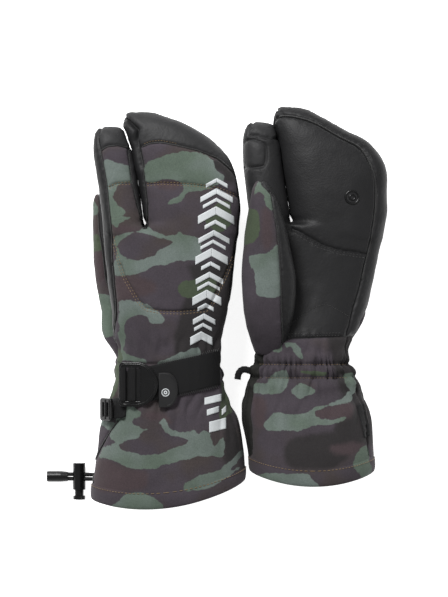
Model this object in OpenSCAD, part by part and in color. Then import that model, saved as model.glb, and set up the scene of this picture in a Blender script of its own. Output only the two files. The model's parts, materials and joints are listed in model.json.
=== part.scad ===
// A pair of insulated trigger-finger snow mittens, laid flat side by side.
// The right mitten lies palm down and the left mitten lies palm up, so each is the
// other turned over. +Y runs from the cuff to the fingertips and +Z is up.

/* [Placing of the pair] */
// Distance from the centre plane to the right mitten's wrist
right_x = -59.4; // [-70:0.1:-58]
// Distance from the centre plane to the left mitten's wrist
left_x = 55.2; // [54.5:0.1:80]
// Height of the right mitten's middle plane over the table
right_z = 57.5; // [57.5:0.1:62]
// Height of the left mitten's middle plane over the table
left_z = 26.5; // [26.5:0.1:28]
// Turn of the left hand about its wrist
left_turn = -5; // [-5:0.5:0]
// Outward lean of the right thumb
right_thumb_lean = 4.5; // [0:0.5:5]

/* [Fabric] */
// Thickness of a shell panel with its padding
panel_t = 3.2; // [2.5:0.1:3.4]
// Thickness of the knit lining
lining_t = 1.6; // [1:0.1:2]
// Thickness of the shirring elastic
elastic_t = 1; // [0.6:0.1:1.1]
// Height of the turned hem
hem_h = 13; // [10:0.5:15]

/* [Wrist strap and buckle] */
// Width of the strap webbing
strap_w = 29; // [25:0.5:30]
// Thickness of the strap webbing
strap_t = 1.8; // [1.2:0.1:1.8]
// Rise of the strap per millimetre across the wrist
strap_rise = 0.23; // [0.15:0.01:0.25]
// Length of the D-shaped buckle across the wrist
buckle_l = 32; // [30:0.5:33]
// Width of the D-shaped buckle along the arm
buckle_w = 36; // [34:0.5:38]
// Thickness of the buckle plate
buckle_t = 2.8; // [2:0.1:2.8]

/* [Drawcord] */
// Diameter of one strand of the elastic drawcord
cord_d = 3.4; // [3:0.1:3.6]
// Outer diameter of the cord lock barrel
lock_d = 10.8; // [10.6:0.1:11.2]
// Length of the cord lock barrel
lock_l = 23; // [22:0.5:24]
// Travel of the cord lock plunger
plunger_travel = 4; // [2:0.5:4]

/* [Hidden] */
RIGHT = 0;
LEFT = 1;

PLACE = [[right_x, -44.2, right_z], [left_x, -42.2, left_z]];
TURN = [0, left_turn];

// Every section is [y, centre x, half width, centre z, half thickness, slope across, bow].
HAND_ROWS = [
  [11.5, 1.5, 41.5, -8, 27, 0, 0], [25, 1, 44, -5, 26, 0, 0], [45, 1, 48.5, -1, 25.5, 0, 0],
  [70, 1, 52.3, 1, 24.5, 0, 0], [90, 0.8, 54.8, 1, 24, 0, 0], [113, 1.5, 57, 1, 23.5, 0, 0]
];
INDEX_ROWS = [
  [113.5, -38.3, 17.3, 1, 21, 0, 0], [130, -40.8, 16.4, 0.5, 20, 0, 0], [150, -43.7, 16.2, 0, 18.5, 0, 0],
  [165, -46.5, 15.9, 0, 17.5, 0, 0], [176, -48.5, 15.3, 0, 16.5, 0, 0], [187, -50.2, 13.4, 0, 14, 0, 0],
  [194, -52.3, 9, 0, 10, 0, 0], [197, -53, 5, 0, 5.5, 0, 0]
];
MITT_ROWS = [
  [113.5, 19.5, 39, 1, 23.5, 0, 0], [130, 19.2, 40.8, 1, 23.5, 0, 0], [146, 17, 41, 1, 23, 0, 0],
  [160, 14.1, 40.9, 1, 22, 0, 0], [172, 10, 39.5, 1, 20.5, 0, 0], [183, 2.8, 35.8, 1, 18.5, 0, 0],
  [193, -6, 31, 1, 16, 0, 0], [201, -14.4, 24.4, 1, 12.5, 0, 0], [206, -21.2, 17.2, 1, 8.5, 0, 0],
  [208.5, -24, 10, 1, 4.5, 0, 0]
];
THUMB_ROWS = [
  [26, -34, 8, -41, 9, 0, 0], [30, -34.3, 14, -41, 13, 0, 0], [38, -34.5, 18.5, -41, 15.5, 0, 0],
  [60, -36, 22, -41, 16.5, 0, 0], [78, -38.2, 20.9, -41, 16.5, 0, 0], [92, -40.3, 18.6, -41, 16.3, 0, 0],
  [106, -42, 16.3, -41, 16, 0, 0], [118, -43.8, 13.6, -41, 15, 0, 0], [129, -45.7, 10.6, -41, 13.5, 0, 0],
  [137, -47.8, 8, -41, 11, 0, 0], [142.5, -49.3, 5.3, -41, 7.5, 0, 0], [144.5, -49.8, 3.8, -41, 4.8, 0, 0]
];
RIGHT_CUFF_ROWS = [
  [-110, -1, 65, -16.5, 40.2, 0.12, 13], [-98, -0.5, 64.5, -16.5, 40, 0.11, 11],
  [-75, 0, 61.5, -15, 37.5, 0.08, 6], [-50, -0.5, 56.5, -13, 33.5, 0.04, 2],
  [-28, -0.5, 47.5, -10, 29, 0, 0], [-8, 0.5, 42.5, -8, 27, 0, 0], [10.5, 1.5, 41.5, -8, 27, 0, 0]
];
LEFT_CUFF_ROWS = [
  [-96, 6.5, 52.5, -16.5, 40.2, 0, 11], [-84, 6, 52.5, -16.5, 40, 0, 9],
  [-64, 3.5, 53, -15, 37.5, 0, 5], [-46, 1, 53.5, -13, 33.5, 0, 2],
  [-26, 0, 48, -10, 29, -0.03, 0], [-8, 1.2, 43, -8, 27, -0.07, 0], [10.55, 2.5, 41.5, -8, 27, -0.0875, 0]
];
CUFF_ROWS = [RIGHT_CUFF_ROWS, LEFT_CUFF_ROWS];

// Angles round a section: 0 little-finger edge, 90 back, 180 thumb edge, 270 palm.
BACK_END = 150;
PALM_START = 215;
PALM_END = 315;
BACK_START = 365;
SEAM = 0.35;
SQUARENESS = 0.78;

index_hinge_y = 150;
mitt_hinge_y = 146;
hinge_gap = 0.5;
index_cap_y = 175;
mitt_cap_y = 172;
yoke_y = 43;
wall = panel_t + 1.4;
elastic_in = panel_t + 0.3;
lining_in = elastic_in + elastic_t + 0.3;
thumb_hole = [24, 34];
thumb_hole_at = [-37, 58];
thumb_root = [-36, 10];
THUMB_LEAN = [right_thumb_lean, 0];

strap_lift = [0.5, 0.8];
strap_steps = [12, 20];
strap_end_angle = 24;
strap_start_angle = [128, 178];
tail_t = 2.6;
TAIL_ROUTE = [[-46.9, -16], [-48.5, -11], [-52, -8.6], [-56, -10.2], [-57.4, -14.5], [-56.2, -19.5]];
strap_mid_y = -15.5;
buckle_at = [-25, -19.5, 20.9];
buckle_tilt = -10;
tab_l = 15;
tab_w = 28;
tab_t = 1.9;
tab_at = [-7.6, -24.3, 22.4];

cord_lane = 3.8;
cord_y = -102;
cord_slope = 16;
lock_at = [-79, 7.2];
plunger_d = 7.6;
plunger_bore_d = 7.8;
flange_d = 10.6;
flange_t = 3.2;
plunger_out = 8.5;
slot_h = 4.2;
slot_w = 7.8;
lock_top_y = 11.8;
lock_end_wall = 1.2;
stem_top_y = 5.4;

// Route of the drawcord's middle line in the right cuff's own plan, heights over the table.
CORD_ROUTE = [
  [-54, 14.4], [-60, 12.7], [-66, 11], [-72, 9.2], [-78, 7.5], [-84, 5.8], [-90, 5], [-97, 4.8]
];

function signed_pow(v, e) = sign(v) * pow(abs(v), e);
function column(rows, k) = [for (r = rows) [r[0], r[k]]];
function section_at(rows, y) = [for (k = [0:6]) k == 0 ? y : lookup(y, column(rows, k))];
function clamp_in(v) = max(v, 1);

// One point of a lofted skin: y along the hand, a round the section, grow outwards.
function skin_point(rows, y, a, grow) =
  let (
    s = section_at(rows, y),
    dx = clamp_in(s[2] + grow) * signed_pow(cos(a), SQUARENESS),
    dz = clamp_in(s[4] + grow) * signed_pow(sin(a), SQUARENESS),
    bow = s[6] * (1 - pow(dx / (s[2] + abs(grow)), 2))
  )
  [s[1] + dx, y + s[5] * dx - bow, s[3] + dz];

// The same point when the piece climbs across the wrist, as the strap does.
function climbing_point(rows, y, a, grow, rise) =
  skin_point(rows, y + rise * section_at(rows, y)[2] * signed_pow(cos(a), SQUARENESS), a, grow);

function stations(rows, y0, y1) =
  concat([y0], [for (r = rows) if (r[0] > y0 + 2 && r[0] < y1 - 2) r[0]], [y1]);

function quad_outer(a, b, c, d) = [[a, c, b], [a, d, c]];
function quad_inner(a, b, c, d) = [[a, b, c], [a, c, d]];

// Walls between an outer and an inner grid of rows x cols points.
function skin_faces(rows, cols, closed) =
  let (n = rows * cols, last = closed ? cols - 1 : cols - 2)
  concat(
    [for (i = [0:rows - 2]) for (j = [0:last]) let (k = (j + 1) % cols)
      each quad_outer(i * cols + j, (i + 1) * cols + j, (i + 1) * cols + k, i * cols + k)],
    [for (i = [0:rows - 2]) for (j = [0:last]) let (k = (j + 1) % cols)
      each quad_inner(n + i * cols + j, n + (i + 1) * cols + j, n + (i + 1) * cols + k, n + i * cols + k)]
  );

function low_edge_faces(rows, cols, closed) =
  let (n = rows * cols, last = closed ? cols - 1 : cols - 2)
  [for (j = [0:last]) let (k = (j + 1) % cols) each quad_inner(j, n + j, n + k, k)];

function high_edge_faces(rows, cols, closed) =
  let (n = rows * cols, last = closed ? cols - 1 : cols - 2, i = (rows - 1) * cols)
  [for (j = [0:last]) let (k = (j + 1) % cols) each quad_inner(i + j, i + k, n + i + k, n + i + j)];

function side_edge_faces(rows, cols) =
  let (n = rows * cols, e = cols - 1)
  [for (i = [0:rows - 2]) let (p = i * cols, q = (i + 1) * cols) each concat(
    quad_inner(p, q, n + q, n + p), quad_inner(p + e, n + p + e, n + q + e, q + e))];

// A curved panel: part of a lofted skin from angle a0 to a1 and from y0 to y1.
module panel(rows, y0, y1, a0, a1, outer, inner, steps, rise = 0) {
  ys = stations(rows, y0, y1);
  angles = [for (j = [0:steps]) a0 + SEAM + (a1 - a0 - 2 * SEAM) * j / steps];
  points = [for (grow = [outer, inner]) for (y = ys) for (a = angles) climbing_point(rows, y, a, grow, rise)];
  polyhedron(points, concat(
    skin_faces(len(ys), steps + 1, false), low_edge_faces(len(ys), steps + 1, false),
    high_edge_faces(len(ys), steps + 1, false), side_edge_faces(len(ys), steps + 1)), 4);
}

// A tube open at both ends.
module sleeve(rows, y0, y1, outer, inner, steps) {
  ys = stations(rows, y0, y1);
  points = [for (grow = [outer, inner]) for (y = ys) for (j = [0:steps - 1])
    skin_point(rows, y, 360 * j / steps, grow)];
  polyhedron(points, concat(
    skin_faces(len(ys), steps, true), low_edge_faces(len(ys), steps, true),
    high_edge_faces(len(ys), steps, true)), 4);
}

// A hollow fingertip: open at y0 and closed at the far end of its rows.
module fingertip(rows, y0, y1, thickness, steps) {
  ys = stations(rows, y0, y1);
  n = len(ys) * steps;
  squeeze = (y1 - y0 - thickness) / (y1 - y0);
  top = [for (j = [0:steps - 1]) (len(ys) - 1) * steps + j];
  inner_top = [for (j = [steps - 1:-1:0]) n + (len(ys) - 1) * steps + j];
  outer_points = [for (y = ys) for (j = [0:steps - 1]) skin_point(rows, y, 360 * j / steps, 0)];
  inner_points = [for (y = ys) let (s = section_at(rows, y)) for (j = [0:steps - 1])
    let (p = skin_point(rows, y, 360 * j / steps, -thickness)) [p[0], y0 + (y - y0) * squeeze, p[2]]];
  polyhedron(concat(outer_points, inner_points), concat(
    skin_faces(len(ys), steps, true), low_edge_faces(len(ys), steps, true), [top], [inner_top]), 4);
}

// Turns the left mitten over.
module turn_over(side) {
  if (side == RIGHT) children();
  else mirror([0, 0, 1]) children();
}

module cuff_frame(side) {
  translate(PLACE[side]) turn_over(side) children();
}

module hand_frame(side) {
  translate(PLACE[side]) rotate([0, 0, TURN[side]]) turn_over(side) children();
}

function hem_y(side) = CUFF_ROWS[side][0][0];
function cuff_top(side) = CUFF_ROWS[side][6][0];

// Frame of the thumb, which leans outwards about its root.
module thumb_frame(side) {
  hand_frame(side) translate(thumb_root) rotate([0, 0, THUMB_LEAN[side]])
    translate(-thumb_root) children();
}

// Cuff and gauntlet
module gauntlet_back(side) {
  color("darkolivegreen") cuff_frame(side)
    panel(CUFF_ROWS[side], hem_y(side) + hem_h, cuff_top(side), -10, BACK_END, 0, -panel_t, 12);
}

module gauntlet_palm(side) {
  color("darkolivegreen") cuff_frame(side)
    panel(CUFF_ROWS[side], hem_y(side) + hem_h, cuff_top(side), PALM_START, 350, 0, -panel_t, 10);
}

module gauntlet_gusset(side) {
  color("dimgray") cuff_frame(side) difference() {
    panel(CUFF_ROWS[side], hem_y(side) + hem_h, cuff_top(side), BACK_END, PALM_START, 0, -panel_t, 6);
    if (side == RIGHT) cord_slot();
  }
}

module hem_band(side) {
  color("darkolivegreen") cuff_frame(side) difference() {
    sleeve(CUFF_ROWS[side], hem_y(side), hem_y(side) + hem_h - 0.3, 0.8, -panel_t, 32);
    if (side == RIGHT) cord_slot();
  }
}

module gauntlet_lining(side) {
  color("black") cuff_frame(side) difference() {
    sleeve(CUFF_ROWS[side], hem_y(side) + 1, cuff_top(side), -lining_in, -lining_in - lining_t, 28);
    if (side == RIGHT) cord_slot();
  }
}

module wrist_elastic(side) {
  color("gray") cuff_frame(side)
    panel(CUFF_ROWS[side], -24, 8, PALM_START, 325, -elastic_in, -elastic_in - elastic_t, 8);
}

// Opening in the hem's thumb side where the drawcord comes out.
module cord_slot() {
  translate([-60, cord_y, 14 - right_z]) cube([30, slot_w + 1, 7], center = true);
}

module strap(side) {
  color("black") cuff_frame(side) {
    panel(CUFF_ROWS[side], strap_mid_y - strap_w / 2, strap_mid_y + strap_w / 2,
      strap_end_angle, strap_start_angle[side], strap_lift[side] + strap_t, strap_lift[side],
      strap_steps[side], strap_rise);
    if (side == LEFT) strap_tail();
  }
}

// The left strap's free end, which curls out at the thumb side.
module strap_tail() {
  translate([0, 0, -14]) linear_extrude(12)
    for (i = [0:len(TAIL_ROUTE) - 2]) hull() {
      translate(TAIL_ROUTE[i]) circle(tail_t / 2, $fn = 20);
      translate(TAIL_ROUTE[i + 1]) circle(tail_t / 2, $fn = 20);
    }
}

module keeper_loop(side) {
  color("black") cuff_frame(side) translate([-51.5, -41, 10]) rotate([0, -52, 0])
    linear_extrude(2.4) difference() {
      square([15, 18], center = true);
      translate([-3, 0]) square([3, 13], center = true);
      translate([3, 0]) square([3, 13], center = true);
    }
}

// Outline of the buckle: straight on the thumb side, round on the other.
module d_outline() {
  r = buckle_w / 2;
  intersection() {
    translate([buckle_l / 2 - r, 0]) circle(r, $fn = 64);
    square([buckle_l, buckle_w], center = true);
  }
  translate([-buckle_l / 4, 0]) square([buckle_l / 2, buckle_w], center = true);
}

module buckle(side) {
  color("black") cuff_frame(side) translate(buckle_at) rotate([0, buckle_tilt, 0])
    linear_extrude(buckle_t) difference() {
      d_outline();
      translate([-10, 0]) square([4, buckle_w - 7], center = true);
      translate([-1, 0]) square([6, buckle_w - 7], center = true);
    }
}

module pull_tab(side) {
  color("black") cuff_frame(side) translate(tab_at) linear_extrude(tab_t) hull() {
    translate([0.5, 0]) square([1, tab_w], center = true);
    for (y = [-1, 1]) translate([tab_l - 7, y * (tab_w / 2 - 7)]) circle(7, $fn = 32);
  }
}

module side_label(side) {
  color("black") cuff_frame(side)
    panel(CUFF_ROWS[side], -66, -40, 309, 315, 1.3, 0.4, 2);
}

// Hand
module yoke_panel(side) {
  color("darkolivegreen") hand_frame(side)
    panel(HAND_ROWS, 11.5, yoke_y - 0.2, 5, BACK_END, 0, -panel_t, 10);
}

module hand_back(side) {
  color("darkolivegreen") hand_frame(side)
    panel(HAND_ROWS, yoke_y + 0.2, 113, 5, BACK_END, 0, -panel_t, 10);
}

module side_strip(side) {
  color("dimgray") hand_frame(side)
    panel(HAND_ROWS, 11.5, 113, BACK_END, PALM_START, 0, -panel_t, 5);
}

module palm_hole(depth) {
  translate([thumb_hole_at[0], thumb_hole_at[1], -24])
    cube([thumb_hole[0], thumb_hole[1], depth], center = true);
}

module palm_leather(side) {
  color("dimgray") hand_frame(side) difference() {
    panel(HAND_ROWS, 11.5, 113, PALM_START, PALM_END, 0, -panel_t, 8);
    palm_hole(40);
  }
}

module edge_gusset(side) {
  color("dimgray") hand_frame(side) {
    panel(HAND_ROWS, 11.5, 113, PALM_END, BACK_START, 0, -panel_t, 5);
    panel(MITT_ROWS, 113.5, mitt_hinge_y - hinge_gap, PALM_END, BACK_START, 0, -wall, 5);
  }
}

module hand_lining(side) {
  color("black") hand_frame(side) difference() {
    sleeve(HAND_ROWS, 11.5, 112, -lining_in, -lining_in - lining_t, 28);
    palm_hole(40);
  }
}

module index_base(side) {
  color("darkolivegreen") hand_frame(side)
    sleeve(INDEX_ROWS, 113.5, index_hinge_y - hinge_gap, 0, -wall, 20);
}

module index_back(side) {
  color("darkolivegreen") hand_frame(side)
    panel(INDEX_ROWS, index_hinge_y + hinge_gap, index_cap_y - 0.2, -10, BACK_END, 0, -wall, 8);
}

module index_palm(side) {
  color("dimgray") hand_frame(side)
    panel(INDEX_ROWS, index_hinge_y + hinge_gap, index_cap_y - 0.2, BACK_END, 350, 0, -wall, 10);
}

module index_cap(side) {
  color("dimgray") hand_frame(side) fingertip(INDEX_ROWS, index_cap_y + 0.2, 197, wall, 20);
}

module index_tip(side) {
  color("dimgray") hand_frame(side) fingertip(INDEX_ROWS, index_hinge_y + hinge_gap, 197, wall, 20);
}

module knuckle_panel(side) {
  color("darkolivegreen") hand_frame(side)
    panel(MITT_ROWS, 113.5, mitt_hinge_y - hinge_gap, 5, BACK_END, 0, -wall, 8);
}

module upper_palm(side) {
  color("dimgray") hand_frame(side)
    panel(MITT_ROWS, 113.5, mitt_hinge_y - hinge_gap, PALM_START, PALM_END, 0, -wall, 6);
}

module fourchette(side) {
  color("dimgray") hand_frame(side)
    panel(MITT_ROWS, 113.5, mitt_hinge_y - hinge_gap, BACK_END, PALM_START, 0, -wall, 4);
}

module mitt_back(side) {
  color("darkolivegreen") hand_frame(side)
    panel(MITT_ROWS, mitt_hinge_y + hinge_gap, mitt_cap_y - 0.2, -10, 170, 0, -wall, 12);
}

module mitt_palm(side) {
  color("dimgray") hand_frame(side)
    panel(MITT_ROWS, mitt_hinge_y + hinge_gap, mitt_cap_y - 0.2, 170, 350, 0, -wall, 12);
}

module mitt_cap(side) {
  color("dimgray") hand_frame(side) fingertip(MITT_ROWS, mitt_cap_y + 0.2, 208.5, wall, 28);
}

module mitt_tip(side) {
  color("dimgray") hand_frame(side) fingertip(MITT_ROWS, mitt_hinge_y + hinge_gap, 208.5, wall, 28);
}

// Thumb
module thumb_hole_cut() {
  translate([thumb_hole_at[0], thumb_hole_at[1], -26])
    cube([thumb_hole[0] - 2, thumb_hole[1] - 2, 16], center = true);
}

module thumb_back(side) {
  color("darkolivegreen") thumb_frame(side)
    panel(THUMB_ROWS, 38.2, 129.8, BACK_END, 320, 0, -panel_t, 8);
}

module thumb_leather(side) {
  color("dimgray") thumb_frame(side) difference() {
    panel(THUMB_ROWS, 38.2, 129.8, -40, BACK_END, 0, -panel_t, 10);
    thumb_hole_cut();
  }
}

module thumb_shell(side) {
  color("darkolivegreen") thumb_frame(side) difference() {
    sleeve(THUMB_ROWS, 38.2, 129.8, 0, -panel_t, 18);
    thumb_hole_cut();
  }
}

module thumb_tip(side) {
  color("darkolivegreen") thumb_frame(side) fingertip(THUMB_ROWS, 130, 144.5, panel_t, 18);
}

// The thumb's lower end, which turns about the thumb's own pivot.
module thumb_base(side) {
  flipped = [for (i = [len(THUMB_ROWS) - 1:-1:0]) let (r = THUMB_ROWS[i])
    [76 - r[0], r[1], r[2], r[3], r[4], 0, 0]];
  color("dimgray") thumb_frame(side) translate([0, 76, 0]) mirror([0, 1, 0])
    fingertip(flipped, 38, 50, panel_t, 18);
}

// Drawcord and its hardware
module cord_frame() {
  translate([right_x, PLACE[RIGHT][1] + cord_y, 0]) children();
}

module strand(offset) {
  steps = 8;
  n = len(CORD_ROUTE);
  points = [for (i = [0:n - 1])
    let (
      before = CORD_ROUTE[max(i - 1, 0)],
      after = CORD_ROUTE[min(i + 1, n - 1)],
      run = (after - before) / norm(after - before)
    )
    for (j = [0:steps - 1])
      let (c = cord_d / 2 * cos(360 * j / steps), s = cord_d / 2 * sin(360 * j / steps))
      [CORD_ROUTE[i][0] - run[1] * s, offset + c, CORD_ROUTE[i][1] + run[0] * s]];
  sides = [for (i = [0:n - 2]) for (j = [0:steps - 1]) let (k = (j + 1) % steps)
    [i * steps + j, i * steps + k, (i + 1) * steps + k, (i + 1) * steps + j]];
  first = [for (j = [steps - 1:-1:0]) j];
  last = [for (j = [0:steps - 1]) (n - 1) * steps + j];
  polyhedron(points, concat(sides, [first], [last]), 4);
}

module drawcord() {
  color("black") cord_frame() {
    strand(-cord_lane / 2);
    strand(cord_lane / 2);
  }
}

// Frame of the cord lock: x along the cord, y along the barrel.
module lock_frame() {
  cord_frame() translate([lock_at[0], 0, lock_at[1]]) rotate([0, -cord_slope, 0]) children();
}

module along_y(y, length, d) {
  translate([0, y, 0]) rotate([-90, 0, 0]) cylinder(d = d, h = length, $fn = 48);
}

module cord_lock_barrel() {
  lock_low_y = lock_top_y - lock_l;
  color("black") lock_frame() difference() {
    along_y(lock_low_y, lock_l, lock_d);
    along_y(lock_low_y - 1, lock_l + 1 - lock_end_wall, plunger_bore_d);
    cube([lock_d + 2, slot_w, slot_h], center = true);
  }
}

module cord_lock_plunger() {
  flange_y = lock_top_y - lock_l - plunger_out;
  color("black") lock_frame() difference() {
    union() {
      along_y(flange_y + 1, stem_top_y - flange_y - 1, plunger_d);
      along_y(flange_y, flange_t, flange_d);
    }
    translate([0, -plunger_travel / 2, 0])
      cube([lock_d + 2, slot_w + plunger_travel, slot_h], center = true);
  }
}

module cord_lock_spring() {
  turns = 3;
  spring_r = 2.8;
  wire_r = 0.4;
  low = stem_top_y + wire_r + 0.15;
  high = lock_top_y - lock_end_wall - wire_r - 0.15;
  color("silver") lock_frame() translate([0, low, 0]) rotate([-90, 0, 0])
    linear_extrude(high - low, twist = 360 * turns, slices = 12 * turns)
      translate([spring_r, 0]) circle(wire_r, $fn = 8);
}

module cord_end() {
  color("black") cord_frame() translate([-107, 0, 4.8]) rotate([0, 90, 0]) difference() {
    hull() {
      cylinder(d = 9.4, h = 12, $fn = 32);
      cylinder(d = 8.4, h = 18, $fn = 32);
    }
    for (y = [-1, 1]) translate([0, y * cord_lane / 2, 9.9]) cylinder(d = cord_d, h = 12, $fn = 32);
  }
}

gauntlet_back(RIGHT);  // right_gauntlet_back
gauntlet_palm(RIGHT);  // right_gauntlet_palm
gauntlet_gusset(RIGHT);  // right_gauntlet_gusset
hem_band(RIGHT);  // right_hem_band
gauntlet_lining(RIGHT);  // right_gauntlet_lining
wrist_elastic(RIGHT);  // right_wrist_elastic
strap(RIGHT);  // right_strap
keeper_loop(RIGHT);  // right_keeper_loop
buckle(RIGHT);  // right_buckle
pull_tab(RIGHT);  // right_pull_tab
yoke_panel(RIGHT);  // right_yoke_panel
hand_back(RIGHT);  // right_hand_back
side_strip(RIGHT);  // right_side_strip
palm_leather(RIGHT);  // right_palm_leather
edge_gusset(RIGHT);  // right_edge_gusset
hand_lining(RIGHT);  // right_hand_lining
index_base(RIGHT);  // right_index_base
index_back(RIGHT);  // right_index_back
index_palm(RIGHT);  // right_index_palm
index_cap(RIGHT);  // right_index_cap
knuckle_panel(RIGHT);  // right_knuckle_panel
upper_palm(RIGHT);  // right_upper_palm
fourchette(RIGHT);  // right_fourchette
mitt_back(RIGHT);  // right_mitt_back
mitt_palm(RIGHT);  // right_mitt_palm
mitt_cap(RIGHT);  // right_mitt_cap
thumb_back(RIGHT);  // right_thumb_back
thumb_leather(RIGHT);  // right_thumb_leather
thumb_tip(RIGHT);  // right_thumb_tip
thumb_base(RIGHT);  // right_thumb_base
gauntlet_back(LEFT);  // left_gauntlet_back
gauntlet_palm(LEFT);  // left_gauntlet_palm
gauntlet_gusset(LEFT);  // left_gauntlet_gusset
hem_band(LEFT);  // left_hem_band
gauntlet_lining(LEFT);  // left_gauntlet_lining
wrist_elastic(LEFT);  // left_wrist_elastic
strap(LEFT);  // left_strap
side_label(LEFT);  // left_side_label
buckle(LEFT);  // left_buckle
pull_tab(LEFT);  // left_pull_tab
yoke_panel(LEFT);  // left_yoke_panel
hand_back(LEFT);  // left_hand_back
side_strip(LEFT);  // left_side_strip
palm_leather(LEFT);  // left_palm_leather
edge_gusset(LEFT);  // left_edge_gusset
hand_lining(LEFT);  // left_hand_lining
index_base(LEFT);  // left_index_base
index_tip(LEFT);  // left_index_tip
knuckle_panel(LEFT);  // left_knuckle_panel
upper_palm(LEFT);  // left_upper_palm
fourchette(LEFT);  // left_fourchette
mitt_tip(LEFT);  // left_mitt_tip
thumb_shell(LEFT);  // left_thumb_shell
thumb_tip(LEFT);  // left_thumb_tip
thumb_base(LEFT);  // left_thumb_base
drawcord();
cord_lock_barrel();
cord_lock_plunger();
cord_lock_spring();
cord_end();
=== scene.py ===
import json
import math

import bmesh
import bpy
import numpy as np
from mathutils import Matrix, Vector, kdtree, noise
from mathutils.bvhtree import BVHTree


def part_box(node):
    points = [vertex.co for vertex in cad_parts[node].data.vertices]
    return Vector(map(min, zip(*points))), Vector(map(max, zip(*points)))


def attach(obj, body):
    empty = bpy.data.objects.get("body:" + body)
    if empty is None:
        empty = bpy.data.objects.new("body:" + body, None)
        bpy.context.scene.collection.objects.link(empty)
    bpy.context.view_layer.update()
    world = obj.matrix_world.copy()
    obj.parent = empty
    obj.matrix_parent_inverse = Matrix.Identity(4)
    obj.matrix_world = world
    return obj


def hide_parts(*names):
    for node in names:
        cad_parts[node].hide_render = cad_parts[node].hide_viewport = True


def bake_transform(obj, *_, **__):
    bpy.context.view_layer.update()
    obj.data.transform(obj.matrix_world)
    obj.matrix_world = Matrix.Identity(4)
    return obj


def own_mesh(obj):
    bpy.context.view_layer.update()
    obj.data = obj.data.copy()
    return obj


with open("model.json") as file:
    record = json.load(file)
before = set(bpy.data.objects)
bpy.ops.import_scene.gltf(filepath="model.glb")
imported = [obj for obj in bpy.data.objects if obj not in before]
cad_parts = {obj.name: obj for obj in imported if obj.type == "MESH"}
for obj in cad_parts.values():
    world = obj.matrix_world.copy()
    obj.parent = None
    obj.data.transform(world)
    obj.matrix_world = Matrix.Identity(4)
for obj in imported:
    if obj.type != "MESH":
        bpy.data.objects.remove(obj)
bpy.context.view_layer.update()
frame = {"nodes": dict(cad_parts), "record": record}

# Shapes are worked out in millimetres, in each mitten's own frame: x across the palm with the
# thumb on the low side, y from the cuff to the fingertips, z out of the back of the hand.
# The origin is at the wrist. The last step of every piece takes it to metres in the row frame.
MM = 0.001
RECORD = frame["record"]
JOINTS = {j["name"]: j for j in RECORD["behaviour"]["joints"]}
WRIST_PIVOT = (1.5, 11.0, -35.0)


# ---------------------------------------------------------------- mittens and their sections

# Each row is y, centre x, half width, centre z and half thickness. A cuff's rows go on with the
# slope across and the bow, which are 0 in the others.
HAND_ROWS = [
    (4, 1.5, 41.5, -8, 27), (11.5, 1.5, 41.5, -8, 27), (25, 1, 44, -5, 26), (45, 1, 48.5, -1, 25.5),
    (70, 1, 52.3, 1, 24.5), (90, 0.8, 54.8, 1, 24), (113, 1.5, 57, 1, 23.5),
]
INDEX_ROWS = [
    (104, -37.6, 17.8, 1, 21), (113.5, -38.3, 17.3, 1, 21), (130, -40.8, 16.4, 0.5, 20),
    (150, -43.7, 16.2, 0, 18.5), (165, -46.5, 15.9, 0, 17.5), (176, -48.5, 15.3, 0, 16.5),
    (187, -50.2, 13.4, 0, 14), (194, -52.3, 9, 0, 10), (197.5, -53, 5, 0, 5.5),
]
MITT_ROWS = [
    (104, 19.5, 38.8, 1, 23.5), (113.5, 19.5, 39, 1, 23.5), (130, 19.2, 40.8, 1, 23.5),
    (146, 17, 41, 1, 23), (160, 14.1, 40.9, 1, 22), (172, 10, 39.5, 1, 20.5), (183, 2.8, 35.8, 1, 18.5),
    (193, -6, 31, 1, 16), (201, -14.4, 24.4, 1, 12.5), (206, -21.2, 17.2, 1, 8.5), (209.5, -24, 10, 1, 4.5),
]
THUMB_ROWS = [
    (0, -31, 11, -18, 10), (12, -31.5, 15, -26, 13), (26, -33, 18.5, -33.5, 15.5),
    (42, -34.2, 20.8, -38.5, 16.5), (60, -36, 22.2, -41, 16.3), (78, -38.2, 21, -41, 16.3),
    (92, -40.3, 18.7, -41, 16.3), (106, -42, 16.4, -41, 16), (118, -43.8, 13.8, -41, 15),
    (129, -45.7, 11, -41, 13.5), (137, -47.8, 8.3, -41, 11), (142.5, -49.3, 5.5, -41, 7.5),
    (145, -49.8, 3.8, -41, 4.5),
]
# The point about which a thumb leans in plan.
THUMB_ROOT = (-36.0, 10.0, 0.0)
RIGHT_CUFF_ROWS = [
    (-110, -1, 65, -16.5, 40.2, 0.12, 13), (-98, -0.5, 64.5, -16.5, 40, 0.11, 11),
    (-75, 0, 61.5, -15, 37.5, 0.08, 6), (-50, -0.5, 56.5, -13, 33.5, 0.04, 2),
    (-28, -0.5, 47.5, -10, 29, 0, 0), (-8, 0.5, 42.5, -8, 27, 0, 0), (10.5, 1.5, 41.5, -8, 27, 0, 0),
    (18, 1.5, 41.5, -8, 27, 0, 0),
]
LEFT_CUFF_ROWS = [
    (-96, 6.5, 52.5, -16.5, 40.2, 0, 11), (-84, 6, 52.5, -16.5, 40, 0, 9),
    (-64, 3.5, 53, -15, 37.5, 0, 5), (-46, 1, 53.5, -13, 33.5, 0, 2),
    (-26, 0, 48, -10, 29, -0.03, 0), (-8, 1.2, 43, -8, 27, -0.07, 0),
    (10.55, 2.5, 41.5, -8, 27, -0.0875, 0), (18, 3.1, 41.5, -8, 27, -0.0875, 0),
]
# The power that shapes a section: 1 gives an ellipse, and less gives squarer sides.
SQUARENESS = 0.78
HEM_HEIGHT = 13.0


def signed_pow(v, e):
    return np.sign(v) * np.abs(v) ** e


def bell(v, centre, width):
    """One at the centre, and smoothly down to nothing on both sides."""
    return np.exp(-((v - centre) / width) ** 2)


def grade(v, start, end):
    """A straight climb from 0 at the start to 1 at the end."""
    return np.clip((v - start) / (end - start), 0, 1)


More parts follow.
